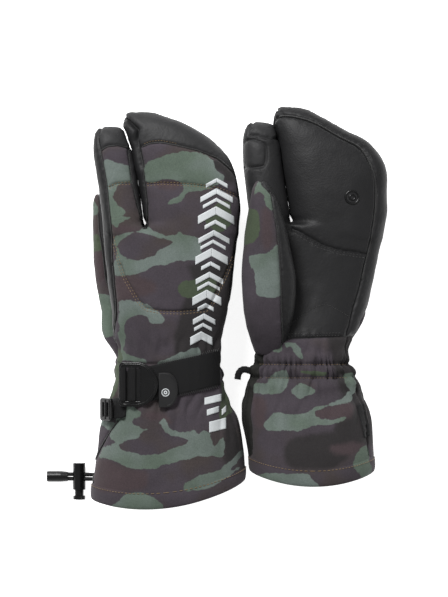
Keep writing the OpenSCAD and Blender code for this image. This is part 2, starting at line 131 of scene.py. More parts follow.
class Skin:
    """A smooth lofted tube through section rows."""

    def __init__(self, rows):
        table = np.array([(*row, 0, 0)[:7] for row in rows], float)
        self.y = table[:, 0]
        self.values = table[:, 1:]
        self.slopes = np.gradient(self.values, self.y, axis=0)

    def at(self, y):
        y = np.clip(np.asarray(y, float), self.y[0], self.y[-1])
        i = np.clip(np.searchsorted(self.y, y) - 1, 0, len(self.y) - 2)
        h = self.y[i + 1] - self.y[i]
        t = ((y - self.y[i]) / h)[..., None]
        h = h[..., None]
        a, b, ma, mb = self.values[i], self.values[i + 1], self.slopes[i] * h, self.slopes[i + 1] * h
        return (a * (2 * t**3 - 3 * t**2 + 1) + ma * (t**3 - 2 * t**2 + t)
                + b * (3 * t**2 - 2 * t**3) + mb * (t**3 - t**2))

    def points(self, y, a, grow=0.0):
        s = self.at(y)
        dx = np.maximum(s[..., 1] + grow, 0.5) * signed_pow(np.cos(a), SQUARENESS)
        dz = np.maximum(s[..., 3] + grow, 0.5) * signed_pow(np.sin(a), SQUARENESS)
        bow = s[..., 5] * (1 - (dx / (s[..., 1] + np.abs(grow))) ** 2)
        return np.stack([s[..., 0] + dx, y + s[..., 4] * dx - bow, s[..., 2] + dz], -1)


HAND = Skin(HAND_ROWS)
INDEX = Skin(INDEX_ROWS)
MITT = Skin(MITT_ROWS)
THUMB = Skin(THUMB_ROWS)


class Mitten:
    """One mitten: its place on the table, which way up it lies and its cuff."""

    def __init__(self, name, turn, flip, cuff_rows, lean, seed):
        self.name = name
        self.turn = math.radians(turn)
        self.flip = flip
        self.lean = math.radians(lean)
        self.cuff = Skin(cuff_rows)
        self.hem_y = cuff_rows[0][0]
        self.seed = seed
        pivot = self.from_hand(np.array([WRIST_PIVOT]))[0] * (1, 1, flip)
        self.place = np.array(JOINTS[name + "_wrist_flex"]["pos_m"]) / MM - pivot

    def rotated(self, p, angle):
        c, s = math.cos(angle), math.sin(angle)
        return np.stack([p[:, 0] * c - p[:, 1] * s, p[:, 0] * s + p[:, 1] * c, p[:, 2]], -1)

    def from_hand(self, p):
        return self.rotated(p, self.turn)

    def to_hand(self, p):
        return self.rotated(p, -self.turn)

    def from_thumb(self, p):
        return self.from_hand(self.rotated(p - THUMB_ROOT, self.lean) + THUMB_ROOT)

    def to_thumb(self, p):
        return self.rotated(self.to_hand(p) - THUMB_ROOT, -self.lean) + THUMB_ROOT

    def world(self, p):
        return (self.place + np.asarray(p) * (1, 1, self.flip)) * MM

    def hand_point(self, x, y, z):
        return self.world(self.from_hand(np.array([[x, y, z]], float)))[0]

    def body(self, part):
        return self.name + "_" + part


# Name, turn of the hand on the cuff in degrees, which way up, cuff, lean of the thumb, noise offset.
RIGHT = Mitten("right", 0, 1, RIGHT_CUFF_ROWS, 4.5, 0.0)
LEFT = Mitten("left", -5, -1, LEFT_CUFF_ROWS, 0, 0.37)
MITTENS = (RIGHT, LEFT)


def curve_of(points):
    """A line through given (place, value) pairs."""
    table = np.array(sorted(points), float)
    return lambda v: np.interp(v, table[:, 0], table[:, 1])


# Seam lines of the back, as y at a given x.
MITT_CAP_Y = curve_of([(-24, 178.5), (-16, 182), (-7, 183), (6, 180.5), (25, 176), (41, 170), (52, 161),
                       (60, 150)])
INDEX_CAP_Y = curve_of([(-66, 172), (-57, 176), (-52, 179.5), (-43, 181), (-33, 178.5), (-28, 176)])
KNUCKLE_Y = curve_of([(-60, 145), (-49, 145.5), (-43, 148.5), (-28, 149.5), (-18, 148), (-5, 149), (24, 147),
                      (41, 144.5), (60, 137.5)])
YOKE_Y = curve_of([(-60, 112), (-46, 104), (-43.5, 92), (-37, 71), (-26, 52), (-19, 44), (-7, 41.5), (10, 41),
                   (31, 43), (36, 48), (43, 63), (48, 73), (54, 89), (62, 100)])
# Seam lines that run up the hand, as x at a given y.
STRIP_X = curve_of([(-10, -41), (8, -41), (45, -44), (87, -47.5), (104, -47.5), (120, -49), (149, -52),
                    (176, -57), (185, -59.3), (194, -58.3), (198, -56)])
INDEX_INNER_X = curve_of([(100, -21), (113, -21), (130, -26), (149, -30.5), (165, -32.5), (180, -34.5),
                          (200, -42)])
MITT_INNER_X = curve_of([(100, -18), (113, -18), (132, -18), (149, -20), (164, -21.5), (178, -24),
                         (186, -27.5), (194, -26.5), (200, -32), (206, -39)])
FORK_X = curve_of([(80, -19.5), (113, -20.3), (130, -23), (150, -26), (165, -29), (178, -31.5), (190, -36),
                   (200, -39.5)])
THUMB_BACK_X = curve_of([(10, -42), (24, -43.3), (38, -44.8), (55, -46.5), (70, -50.3), (93, -51),
                         (110, -52.6), (130, -52.3)])
THUMB_SEAM_X = curve_of([(0, -20), (14, -20), (32, -22.5), (60, -26), (92, -30.5), (105, -33), (121, -37),
                         (134, -40), (143, -50)])
# Edges of the right cuff's back panel and of the left cuff's palm panel on the thumb side, as an angle
# round the section at a given y. The same two edges of the other mitten don't show and run straight.
GUSSET_ANGLE = curve_of([(-125, 181), (-95, 176), (-81, 165), (-71, 153), (-50, 134), (-30, 128), (20, 128)])
LEFT_PALM_ANGLE = curve_of([(-112, 195), (-90, 197), (-75, 205), (-60, 211), (-5, 215), (30, 215)])
HIDDEN_GUSSET_ANGLE = 152.0
HIDDEN_PALM_ANGLE = 215.0
# The cuff's seam on the little finger's side.
OUTER_CUFF_ANGLE = 330
# The palm side's cross seam, as y at a given x, and plan outlines of its leather.
PALM_SPLIT_Y = curve_of([(-60, 112), (-26, 109.5), (-16, 107), (-7, 103), (7, 96.5), (21, 93.5), (36, 92.7),
                         (60, 92.5)])
PALM_PANEL = [
    (-30, 60), (-27, 110), (-27, 125), (-31.5, 165), (-37, 190), (-38.5, 196), (-34, 200), (-24.7, 201),
    (-13.5, 199.5), (-1, 196.5), (13, 190.5), (28, 181.5), (39, 170.5), (45.5, 159), (48.5, 147), (49.5, 130),
    (48.5, 112), (47, 97), (45, 84), (42.5, 66), (37.5, 42), (36.5, 24), (36, 8), (-30, 8),
]
INDEX_PATCH = [
    (-63.5, 176), (-60, 180.5), (-52, 181), (-45, 178), (-43, 173), (-43.5, 161), (-49, 158), (-56, 157),
    (-62.5, 159.5),
]
# A crease in the mitt's cap beside the fork.
CAP_CREASE = [(-38, 205), (-26, 194), (-28, 185), (-22, 164)]
# Where the camouflage wraps over the little finger's side: middle y, width and depth.
CAMO_EDGE_DIP = (36, 10, 9)
PALM_EDGE_Y = 17.0
PALM_EDGE_SLOPE = 0.1
CUFF_TOP_Y = -3.0
# The hand's panels end at ZONE_Y, and the index and the mitt part at FORK_ROOT_Y.
ZONE_Y = 80.0
FORK_ROOT_Y = 113
# Rows of stitching over the wrist's elastic, and the middle and width of the swells between them.
ELASTIC_ROWS = (-5.6, -16.8)
ELASTIC_SWELLS = ((1.0, 3.6), (-11.2, 3.0), (-23.0, 4.4))


def spline(a, b, c, d, t):
    """A point on the smooth curve from b to c, with a before them and d after."""
    return 0.5 * (2 * b + (c - a) * t + (2 * a - 5 * b + 4 * c - d) * t**2 + (3 * b - a - 3 * c + d) * t**3)


def smooth_loop(points, count):
    """A closed smooth curve through given points."""
    p = np.array(points, float)
    n = len(p)
    out = []
    for i in range(n):
        a, b, c, d = p[i - 1], p[i], p[(i + 1) % n], p[(i + 2) % n]
        out += [spline(a, b, c, d, t) for t in np.linspace(0, 1, count, endpoint=False)]
    return np.array(out)


def segment_distance(a, b, x, y):
    """Distance from (x, y) to the straight line from a to b."""
    e = b - a
    t = np.clip(((x - a[0]) * e[0] + (y - a[1]) * e[1]) / max(e @ e, 1e-9), 0, 1)
    return np.hypot(x - a[0] - t * e[0], y - a[1] - t * e[1])


def path_distance(path, x, y):
    """Distance from (x, y) to an open line."""
    p = np.array(path, float)
    best = segment_distance(p[0], p[1], x, y)
    for a, b in zip(p[1:], p[2:]):
        best = np.minimum(best, segment_distance(a, b, x, y))
    return best


def signed_distance(loop, x, y):
    """Distance from (x, y) to a closed loop, positive inside."""
    inside = np.zeros(x.shape, bool)
    for a, b in zip(loop, np.roll(loop, -1, axis=0)):
        if a[1] != b[1]:
            crosses = (a[1] > y) != (b[1] > y)
            inside ^= crosses & (x < a[0] + (y - a[1]) * (b[0] - a[0]) / (b[1] - a[1]))
    distance = path_distance(np.vstack([loop, loop[:1]]), x, y)
    return np.where(inside, distance, -distance)


# Camouflage blots as plan outlines in the mitten's own frame, in millimetres. An island is
# ground inside the green. The dark blots have soft edges and lie on the outer sides, turned from
# the key light, and low on the cuff: partly the pattern's dark tone, partly painted shade.
BACK_CAMO = {
    "green": [
        [(-22, 160), (-17, 166), (-5, 171), (8, 175), (27, 174), (37, 168), (38, 161), (46, 156),
         (46, 150), (39, 147), (33, 143), (18, 140), (10, 134), (1, 131), (0, 132), (8, 137), (13, 144),
         (10, 149), (1, 152), (-8, 151), (-12, 149), (-18, 149), (-21, 155)],
        [(-56, 167), (-42, 166), (-33, 163), (-28, 158), (-27, 149), (-34, 149), (-42, 147), (-44, 141),
         (-46, 136), (-42, 130), (-36, 124), (-44, 120), (-32, 120), (-40, 116), (-45, 112), (-56, 126),
         (-56, 150)],
        [(-46, 100), (-42, 105), (-31, 108), (-21, 110), (-17, 112), (-13, 110), (-5, 106), (5, 105),
         (9, 108), (16, 105), (24, 102), (26, 97), (26, 85), (10, 84), (-11, 79), (-27, 73), (-44, 71),
         (-46, 81), (-44, 85), (-43, 92), (-44, 94)],
        [(-42, 48), (-37, 51), (-28, 51), (-17, 47), (-7, 40), (-4, 36), (-5, 32), (-9, 31), (-15, 32),
         (-18, 37), (-24, 38), (-30, 38), (-35, 34), (-37, 27), (-36, 20), (-38, 13), (-39, 5), (-42, 1),
         (-41, 10), (-42, 24), (-42, 36)],
        [(-40, 9), (-32, 4), (-21, 2), (-19, -2), (-28, -1), (-37, 0), (-40, 2)],
        [(-9, -2), (7, 6), (14, 8), (25, 12), (25, 2), (2, -3)],
        [(-40, -36), (-29, -39), (-23, -44), (-30, -51), (-23, -56), (-12, -56), (-21, -59), (-27, -65),
         (-37, -68), (-42, -70), (-40, -74), (-32, -77), (-22, -78), (-12, -78), (-4, -77), (2, -73),
         (12, -70), (16, -66), (10, -64), (2, -62), (-4, -59), (-7, -54), (-8, -51), (-4, -48), (-1, -52),
         (2, -56), (10, -60), (18, -60), (21, -58), (25, -61), (30, -58), (35, -60), (36, -65), (39, -71),
         (46, -64), (46, -79), (36, -79), (22, -80), (7, -84), (-7, -88), (-22, -90), (-35, -89),
         (-44, -85), (-50, -82), (-59, -83), (-56, -74), (-46, -69), (-44, -68), (-49, -64), (-46, -56),
         (-44, -50)],
        [(12, -107), (14, -102), (20, -98), (32, -94), (46, -89), (53, -83), (61, -75), (63, -79),
         (56, -86), (52, -92), (60, -90), (55, -94), (41, -102), (35, -106), (22, -108), (15, -109)],
        [(-50, -130), (-48, -122), (-42, -119), (-37, -112), (-27, -110), (-18, -112), (-12, -115),
         (-7, -118), (-4, -124), (-4, -130)],
        [(-59, -52), (-46, -52), (-47, -58), (-51, -58), (-55, -56), (-58, -54)],
    ],
    "island": [
        [(-42, 98), (-34, 105), (-21, 107), (-11, 103), (4, 100), (0, 96), (-9, 92), (-12, 88), (-22, 85),
         (-34, 85), (-40, 89), (-42, 93)],
    ],
    "olive": [
        [(32, 124), (39, 131), (48, 133), (52, 128), (52, 114), (43, 108), (35, 112), (31, 118)],
        [(8, 59), (11, 65), (18, 68), (32, 68), (39, 70), (39, 58), (29, 54), (18, 53), (11, 54)],
        [(-48, 6), (-41, 9), (-40, -2), (-42, -16), (-46, -30), (-50, -34), (-49, -20), (-47, -8)],
        [(44, -19), (47, -22), (52, -38), (53, -44), (48, -46), (45, -52), (43, -46), (44, -32)],
    ],
    # Partly the pattern's dark tone, partly painted shade on the outer side and the cuff below the strap.
    "dark": [
        [(37, 168), (50, 166), (56, 150), (47, 150), (46, 156), (38, 161)],
        [(18, 80), (58, 82), (52, 40), (44, 8), (10, 2), (5, 20), (12, 45), (20, 70)],
        [(46, -47), (53, -45), (57, -60), (61, -72), (60, -80), (52, -85), (47, -83), (46, -65)],
    ],
    "red": [
        [(-44, 113), (-30, 112), (-24, 109), (-36, 107), (-44, 108)],
        [(-46, 70), (-15, 68), (-12, 58), (-30, 52), (-44, 50)],
        [(-9, 150), (8, 150), (6, 144), (-8, 144)],
        [(-21, -46), (-8, -50), (2, -52), (-2, -46), (-12, -42)],
        [(-61, -83), (-48, -84), (-35, -91), (-20, -92), (-18, -104), (-40, -110), (-64, -106)],
    ],
}
PALM_CAMO = {
    "green": [
        [(-35, 13), (-20, 18), (-19, 12), (-20, 6), (-26, 6), (-29, 9), (-34, 8), (-39, 3), (-40, 4),
         (-39, 9)],
        [(-17, 13), (-9, 13), (-4, 9), (-2, 4), (-2, -1), (-7, 2), (-10, 6), (-12, 9), (-16, 8)],
        [(-44, -22), (-33, -22), (-30, -17), (-26, -12), (-16, -10), (-14, -15), (-15, -23), (-24, -30),
         (-44, -30)],
        [(-11, -27), (-4, -21), (8, -27), (2, -32), (-7, -33)],
        [(-34, -54), (-29, -48), (-24, -46), (-5, -47), (10, -41), (22, -38), (30, -34), (38, -28),
         (40, -36), (30, -38), (10, -43), (8, -47), (10, -50), (22, -52), (30, -49), (35, -50), (23, -55),
         (4, -56), (-9, -61), (-29, -60), (-33, -58)],
        [(32, -15), (40, -12), (43, -18), (43, -27), (40, -31), (36, -23)],
        [(40, -92), (43, -79), (52, -73), (54, -86), (56, -95), (48, -102), (45, -96)],
        [(-45, -112), (-40, -99), (-29, -96), (-11, -96), (2, -95), (7, -102), (11, -106), (11, -112)],
    ],
    "olive": [[(-4, -10), (16, -12), (16, -15), (-3, -13)]],
    # Partly the pattern's dark tone, partly painted shade on the cuff's outer side panel and above the hem.
    "dark": [[(20, 20), (56, 20), (52, -30), (62, -60), (62, -72), (30, -72), (24, -60), (30, -30)],
             [(-8, -66), (30, -62), (36, -80), (20, -92), (-12, -90), (-18, -76)]],
    "red": [
        [(9, -43), (38, -37), (38, -50), (10, -50)],
        [(22, -72), (49, -71), (44, -79), (25, -79)],
        [(-44, -33), (-33, -35), (-34, -56), (-42, -56)],
    ],
}
THUMB_BACK_CAMO = {
    "green": [
        [(-70, 140), (-63, 133), (-62, 127), (-63, 124), (-70, 123)],
        [(-68, 54), (-50, 55), (-47, 39), (-44, 24), (-49, 21), (-58, 19), (-66, 39)],
    ],
    "olive": [[(-70, 106), (-60, 106), (-56, 98), (-57, 93), (-70, 94)]],
    "red": [[(-70, 92), (-52, 90), (-52, 70), (-70, 66)]],
}
THUMB_PALM_CAMO = {
    "green": [
        [(-43, 137), (-41, 147), (-34, 149), (-28, 137), (-27, 124), (-34, 129), (-35, 136), (-39, 140),
         (-42, 138)],
        [(-48, 85), (-43, 87), (-30, 89), (-23, 94), (-21, 53), (-39, 53), (-42, 60), (-43, 71), (-47, 77)],
    ],
    "olive": [[(-49, 126), (-41, 123), (-39, 116), (-39, 105), (-44, 97), (-54, 97), (-54, 112)]],
    "red": [[(-36, 124), (-30, 122), (-28, 96), (-36, 92)]],
}
CAMO_COLOURS = ("green", "olive", "dark", "red", "island")
# How far from a blot its distance still counts, in millimetres.
BLOT_REACH = 8.0


def camo_values(p, mid, upper, lower):
    """How far inside each camouflage colour every point lies, in millimetres."""
    up = p[:, 2] > mid
    out = {}
    for colour in CAMO_COLOURS:
        value = np.full(len(p), -BLOT_REACH)
        for chosen, shapes in ((up, upper), (~up, lower)):
            index = np.nonzero(chosen)[0]
            x, y = p[index, 0], p[index, 1]
            for shape in shapes.get(colour, ()):
                loop = smooth_loop(shape, 3)
                low, high = loop.min(0) - BLOT_REACH, loop.max(0) + BLOT_REACH
                near = np.nonzero((x > low[0]) & (x < high[0]) & (y > low[1]) & (y < high[1]))[0]
                k = index[near]
                value[k] = np.maximum(value[k], signed_distance(loop, x[near], y[near]))
        out[colour] = value
    out["green"] = np.minimum(out["green"], -out.pop("island"))
    return out


def paint(obj, values):
    for colour, value in values.items():
        attribute = obj.data.attributes.new("camo_" + colour, "FLOAT", "POINT")
        attribute.data.foreach_set("value", np.asarray(value, np.float32))


PALM_LOOP = smooth_loop(PALM_PANEL, 5)
PATCH_LOOP = smooth_loop(INDEX_PATCH, 5)


# ---------------------------------------------------------------- materials

class Tree:
    """Short helpers for building one node tree."""

    def __init__(self, name, slot_name):
        self.material = bpy.data.materials.new(name)
        self.material.use_nodes = True
        self.material["of_slot"] = slot_name
        self.nodes = self.material.node_tree.nodes
        self.nodes.clear()
        self.links = self.material.node_tree.links
        self.shader = self.nodes.new("ShaderNodeBsdfPrincipled")
        out = self.nodes.new("ShaderNodeOutputMaterial")
        self.links.new(self.shader.outputs[0], out.inputs[0])

    def add(self, kind, inputs=None, **props):
        n = self.nodes.new(kind)
        for key, value in props.items():
            setattr(n, key, value)
        for key, value in (inputs or {}).items():
            if isinstance(value, bpy.types.NodeSocket):
                self.links.new(value, n.inputs[key])
            else:
                n.inputs[key].default_value = value
        return n

    def rest(self):
        return self.add("ShaderNodeAttribute", attribute_name="rest").outputs["Vector"]

    def moved(self, vector, scale=(1, 1, 1), offset=(0, 0, 0)):
        inputs = {"Vector": vector, "Scale": scale, "Location": offset}
        return self.add("ShaderNodeMapping", inputs).outputs[0]

    def noise(self, vector, scale, detail=2.0, rough=0.5, distortion=0.0):
        return self.add("ShaderNodeTexNoise", {
            "Vector": vector, "Scale": scale, "Detail": detail, "Roughness": rough, "Distortion": distortion,
        }).outputs[0]

    def wave(self, vector, scale, direction, distortion=0.0):
        return self.add("ShaderNodeTexWave", {"Vector": vector, "Scale": scale, "Distortion": distortion},
                        bands_direction=direction).outputs["Fac"]

    def math(self, operation, a, b=0.0, clamp=False):
        return self.add("ShaderNodeMath", {0: a, 1: b}, operation=operation, use_clamp=clamp).outputs[0]

    def step(self, value, edge, soft):
        inputs = {"Value": value, "From Min": edge - soft, "From Max": edge + soft}
        return self.add("ShaderNodeMapRange", inputs, interpolation_type="SMOOTHSTEP").outputs[0]

    def mix(self, factor, a, b, blend="MIX"):
        inputs = {0: factor, 6: a, 7: b}
        return self.add("ShaderNodeMix", inputs, data_type="RGBA", blend_type=blend).outputs[2]

    def ramp(self, value, low, high):
        return self.add("ShaderNodeMapRange", {"Value": value, "To Min": low, "To Max": high}).outputs[0]

    def bump(self, height, strength, distance, normal=None):
        inputs = {"Height": height, "Strength": strength, "Distance": distance}
        if normal is not None:
            inputs["Normal"] = normal
        return self.add("ShaderNodeBump", inputs).outputs[0]

    def finish(self, colour, roughness, normal=None, **constants):
        sockets = self.shader.inputs
        self.links.new(colour, sockets["Base Color"])
        self.links.new(roughness, sockets["Roughness"])
        if normal is not None:
            self.links.new(normal, sockets["Normal"])
        for key, value in constants.items():
            sockets[key.replace("_", " ")].default_value = value
        return self.material


# How much brighter than its own colour a surface shows under the studio light.
LIGHT_LEVEL = 1.9


def rgb(r, g, b):
    """The albedo that shows as these 0-255 screen values under the studio light."""
    def linear(v):
        v /= 255
        return v / 12.92 if v <= 0.04045 else ((v + 0.055) / 1.055) ** 2.4
    return (linear(r) / LIGHT_LEVEL, linear(g) / LIGHT_LEVEL, linear(b) / LIGHT_LEVEL, 1.0)


def shade(tone, share):
    return rgb(*[share * v for v in tone])


def weave(t, p, pitch_scale):
    across = t.wave(p, pitch_scale, "X")
    along = t.wave(p, pitch_scale, "Y")
    return t.math("MULTIPLY", across, along)


def camo_material():
    t = Tree("camo_fabric", "camo_fabric")
    p = t.rest()
    warp = t.math("ADD", t.ramp(t.noise(p, 420.0, 3.0, 0.6), -1.0, 1.0),
                  t.ramp(t.noise(p, 95.0, 2.0, 0.5), -2.6, 2.6))

    def blot(colour, soft):
        inside = t.add("ShaderNodeAttribute", attribute_name="camo_" + colour).outputs["Fac"]
        return t.step(t.math("ADD", inside, warp), 0.0, soft)

    ground = t.mix(t.noise(p, 34.0, 2.0, 0.5), rgb(66, 60, 65), rgb(86, 79, 87))
    ground = t.mix(t.step(t.noise(t.moved(p, (1, 1, 1), (2, 7, 3)), 22.0, 2.0, 0.5), 0.55, 0.1),
                   ground, rgb(77, 69, 68))
    sage = t.mix(t.step(t.noise(t.moved(p, (1, 1, 1), (5, 2, 1)), 26.0, 2.0, 0.5), 0.5, 0.14),
                 rgb(100, 114, 102), rgb(119, 130, 125))
    # The dark blots with soft edges: partly the pattern's dark tone, partly painted shade on the sides turned
    # from the light.
    colour = t.mix(blot("dark", 3.0), ground, rgb(54, 51, 52))
    colour = t.mix(blot("red", 3.0), colour, rgb(80, 68, 71))
    colour = t.mix(blot("green", 0.35), colour, sage)
    colour = t.mix(blot("olive", 0.35), colour, rgb(80, 91, 72))
    grain = t.noise(p, 1600.0, 2.0, 0.7)
    fade = t.noise(p, 45.0, 3.0, 0.6)
    tint = {0: t.ramp(grain, 0.6, 1.4), 1: t.ramp(grain, 0.61, 1.39), 2: t.ramp(grain, 0.62, 1.38)}
    colour = t.mix(1.0, colour, t.add("ShaderNodeCombineColor", tint).outputs[0], "MULTIPLY")
    wear = t.math("MULTIPLY", t.ramp(fade, 0.8, 1.2), t.ramp(t.noise(p, 620.0, 3.0, 0.7), 0.75, 1.25))
    grey = t.add("ShaderNodeCombineColor", {0: wear, 1: wear, 2: wear}).outputs[0]
    colour = t.mix(1.0, colour, grey, "MULTIPLY")
    threads = weave(t, p, 420.0)
    normal = t.bump(threads, 0.35, 0.0002)
    normal = t.bump(fade, 0.25, 0.002, normal)
    return t.finish(colour, t.ramp(fade, 0.78, 0.92), normal, Sheen_Weight=0.04, Sheen_Roughness=0.6,
                    Specular_IOR_Level=0.12)


def leather_material(name, slot_name, tone, rough_low, rough_high):
    t = Tree(name, slot_name)
    p = t.rest()
    cells = t.add("ShaderNodeTexVoronoi", {"Vector": p, "Scale": 900.0, "Randomness": 1.0})
    wear = t.noise(p, 38.0, 4.0, 0.6)
    fine = t.noise(p, 420.0, 3.0, 0.6)
    colour = t.mix(wear, shade(tone, 0.82), shade(tone, 1.22))
    colour = t.mix(t.ramp(fine, 0.0, 0.35), colour, shade(tone, 1.3))
    normal = t.bump(cells.outputs["Distance"], 0.3, 0.0003)
    normal = t.bump(fine, 0.3, 0.0005, normal)
    normal = t.bump(wear, 0.3, 0.0025, normal)
    return t.finish(colour, t.ramp(wear, rough_low, rough_high), normal, Specular_IOR_Level=0.16)


def webbing_material(name, slot_name, tone, pitch):
    t = Tree(name, slot_name)
    p = t.rest()
    ribs = t.wave(p, pitch, "X")
    threads = t.wave(p, pitch * 2.1, "Y")
    fuzz = t.noise(p, 900.0, 3.0, 0.6)
    colour = t.mix(ribs, shade(tone, 0.75), shade(tone, 1.25))
    colour = t.mix(t.ramp(fuzz, 0.0, 0.5), colour, shade(tone, 1.35))
    normal = t.bump(t.math("MULTIPLY", ribs, threads), 0.6, 0.0004)
    normal = t.bump(fuzz, 0.2, 0.0002, normal)
    return t.finish(colour, t.ramp(fuzz, 0.55, 0.75), normal, Sheen_Weight=0.03, Specular_IOR_Level=0.15)


def knit_material():
    t = Tree("knit_lining", "knit_lining")
    p = t.rest()
    loops = weave(t, p, 260.0)
    pile = t.noise(p, 700.0, 4.0, 0.7)
    colour = t.mix(pile, rgb(22, 22, 23), rgb(52, 52, 54))
    normal = t.bump(loops, 0.5, 0.0006)
    normal = t.bump(pile, 0.5, 0.0005, normal)
    return t.finish(colour, t.ramp(pile, 0.85, 1.0), normal, Sheen_Weight=0.1, Sheen_Roughness=0.5,
                    Specular_IOR_Level=0.1)


def plastic_material(name, tone, rough_low, rough_high):
    t = Tree(name, "black_plastic")
    p = t.rest()
    scuff = t.noise(p, 120.0, 5.0, 0.65)
    fine = t.noise(p, 1500.0, 2.0, 0.5)
    colour = t.mix(scuff, shade(tone, 0.85), shade(tone, 1.2))
    normal = t.bump(fine, 0.15, 0.0001)
    return t.finish(colour, t.ramp(scuff, rough_low, rough_high), normal, Specular_IOR_Level=0.3)


def thread_material(name, tone):
    t = Tree(name, "camo_fabric")
    p = t.rest()
    twist = t.wave(p, 500.0, "DIAGONAL")
    colour = t.mix(t.noise(p, 300.0, 2.0), shade(tone, 0.8), shade(tone, 1.15))
    return t.finish(colour, t.ramp(twist, 0.5, 0.7), t.bump(twist, 0.5, 0.0002), Sheen_Weight=0.1)


def print_material():
    t = Tree("white_print", "camo_fabric")
    p = t.rest()
    worn = t.noise(p, 260.0, 4.0, 0.7)
    colour = t.mix(worn, rgb(222, 228, 230), rgb(244, 248, 250))
    threads = weave(t, p, 420.0)
    return t.finish(colour, t.ramp(worn, 0.42, 0.6), t.bump(threads, 0.25, 0.0002), Specular_IOR_Level=0.4)


def steel_material():
    t = Tree("spring_steel", "steel")
    p = t.rest()
    streak = t.noise(p, 800.0, 3.0, 0.6)
    colour = t.mix(streak, rgb(150, 152, 156), rgb(198, 200, 204))
    return t.finish(colour, t.ramp(streak, 0.25, 0.4), t.bump(streak, 0.1, 0.0001), Metallic=1.0)


def floor_material():
    t = Tree("floor_white", "stage")
    p = t.add("ShaderNodeTexCoord").outputs["Object"]
    mottle = t.noise(p, 6.0, 2.0)
    colour = t.mix(mottle, (0.9, 0.9, 0.9, 1), (0.92, 0.92, 0.92, 1))
    return t.finish(colour, t.ramp(mottle, 0.85, 0.95), Emission_Color=(1, 1, 1, 1), Emission_Strength=0.85)


CAMO = camo_material()
LEATHER = leather_material("black_leather", "black_leather", (37, 37, 38), 0.42, 0.6)
CAP_LEATHER = leather_material("cap_leather", "black_leather", (49, 49, 50), 0.45, 0.62)
# Painted shade: the left cuff's thumb-side gusset, where the camouflage back panel wraps round into deep
# shade, drawn as near-black cloth.
PAINTED_SHADE_GUSSET = leather_material("painted_shade_gusset", "black_leather", (38, 38, 36), 0.7, 0.9)
WEBBING = webbing_material("webbing", "webbing", (22, 22, 23), 330.0)
CORD_BRAID = webbing_material("cord_braid", "cord", (34, 34, 35), 260.0)
LABEL = webbing_material("woven_label", "label", (34, 34, 35), 700.0)
KNIT = knit_material()
PLASTIC = plastic_material("satin_plastic", (16, 16, 17), 0.2, 0.34)
TAB_RUBBER = plastic_material("tab_rubber", (28, 28, 29), 0.4, 0.55)
TAN_THREAD = thread_material("tan_thread", (138, 112, 76))
BLACK_THREAD = thread_material("black_thread", (30, 30, 30))
PIPING = thread_material("black_piping", (14, 14, 14))
PRINT = print_material()
STEEL = steel_material()


# ---------------------------------------------------------------- mesh helpers

def new_object(name, data):
    obj = bpy.data.objects.new(name, data)
    bpy.context.scene.collection.objects.link(obj)
    return obj


def new_mesh(name, verts, faces):
    mesh = bpy.data.meshes.new(name)
    mesh.from_pydata([tuple(v) for v in verts], [], [tuple(int(i) for i in f) for f in faces])
    return mesh


def store_rest(mesh, rest):
    """Keeps each point's rest place, from which the materials take their texture."""
    attribute = mesh.attributes.new("rest", "FLOAT_VECTOR", "POINT")
    attribute.data.foreach_set("vector", np.asarray(rest, np.float32).ravel())


def make_object(name, verts_m, faces, material, rest):
    """A smooth mesh object in the row frame, in metres."""
    mesh = new_mesh(name, verts_m, faces)
    mesh.materials.append(material)
    mesh.polygons.foreach_set("use_smooth", np.full(len(mesh.polygons), True))
    store_rest(mesh, rest)
    mesh.update()
    return new_object(name, mesh)


def vectors(items, count, key):
    """One vector of each item, as an array of rows."""
    out = np.empty(count * 3, np.float32)
    items.foreach_get(key, out)
    return out.reshape(-1, 3)


def mesh_arrays(mesh):
    co = vectors(mesh.vertices, len(mesh.vertices), "co")
    return co.astype(float), [tuple(p.vertices) for p in mesh.polygons]


def turned_over(faces):
    return [tuple(reversed(f)) for f in faces]


def piece(mitten, name, verts, faces, material):
    """A piece given in a mitten's own frame."""
    verts = np.asarray(verts, float)
    if mitten.flip < 0:
        faces = turned_over(faces)
    rest = verts * MM + (mitten.seed, mitten.seed, 0)
    obj = make_object(mitten.name + "_" + name, mitten.world(verts), faces, material, rest)
    return obj


def loft_faces(rows, cols, closed):
    """Quads between rings of points."""
    out = []
    last = cols if closed else cols - 1
    for i in range(rows - 1):
        for j in range(last):
            k = (j + 1) % cols
            out.append((i * cols + j, (i + 1) * cols + j, (i + 1) * cols + k, i * cols + k))
    return out


def tube_faces(rows, cols):
    """Quads round a tube of rings, and a face over each of its ends."""
    ends = [tuple(range(cols)), tuple(reversed(range((rows - 1) * cols, rows * cols)))]
    return loft_faces(rows, cols, True) + ends


def sheet_faces(rows, cols):
    """Both sides and the rim of a thin sheet, whose upper grid of points comes before its lower one."""
    under = rows * cols
    grid = loft_faces(rows, cols, False)
    rim = list(range(cols)) + [i * cols + cols - 1 for i in range(1, rows)]
    rim += [(rows - 1) * cols + i for i in range(cols - 2, -1, -1)]
    rim += [i * cols for i in range(rows - 2, 0, -1)]
    walls = [(i, i + under, j + under, j) for i, j in zip(rim, rim[1:] + rim[:1])]
    return turned_over(grid) + [tuple(i + under for i in f) for f in grid] + walls


def solid_loft(skin, y0, y1, step=3.0, around=72):
    """A closed solid of a skin from y0 to y1."""
    count = max(3, int((y1 - y0) / step))
    ys = np.linspace(y0, y1, count)
    angles = np.linspace(0, 2 * math.pi, around, endpoint=False)
    grid_y, grid_a = np.meshgrid(ys, angles, indexing="ij")
    return skin.points(grid_y, grid_a).reshape(-1, 3), tube_faces(count, around)


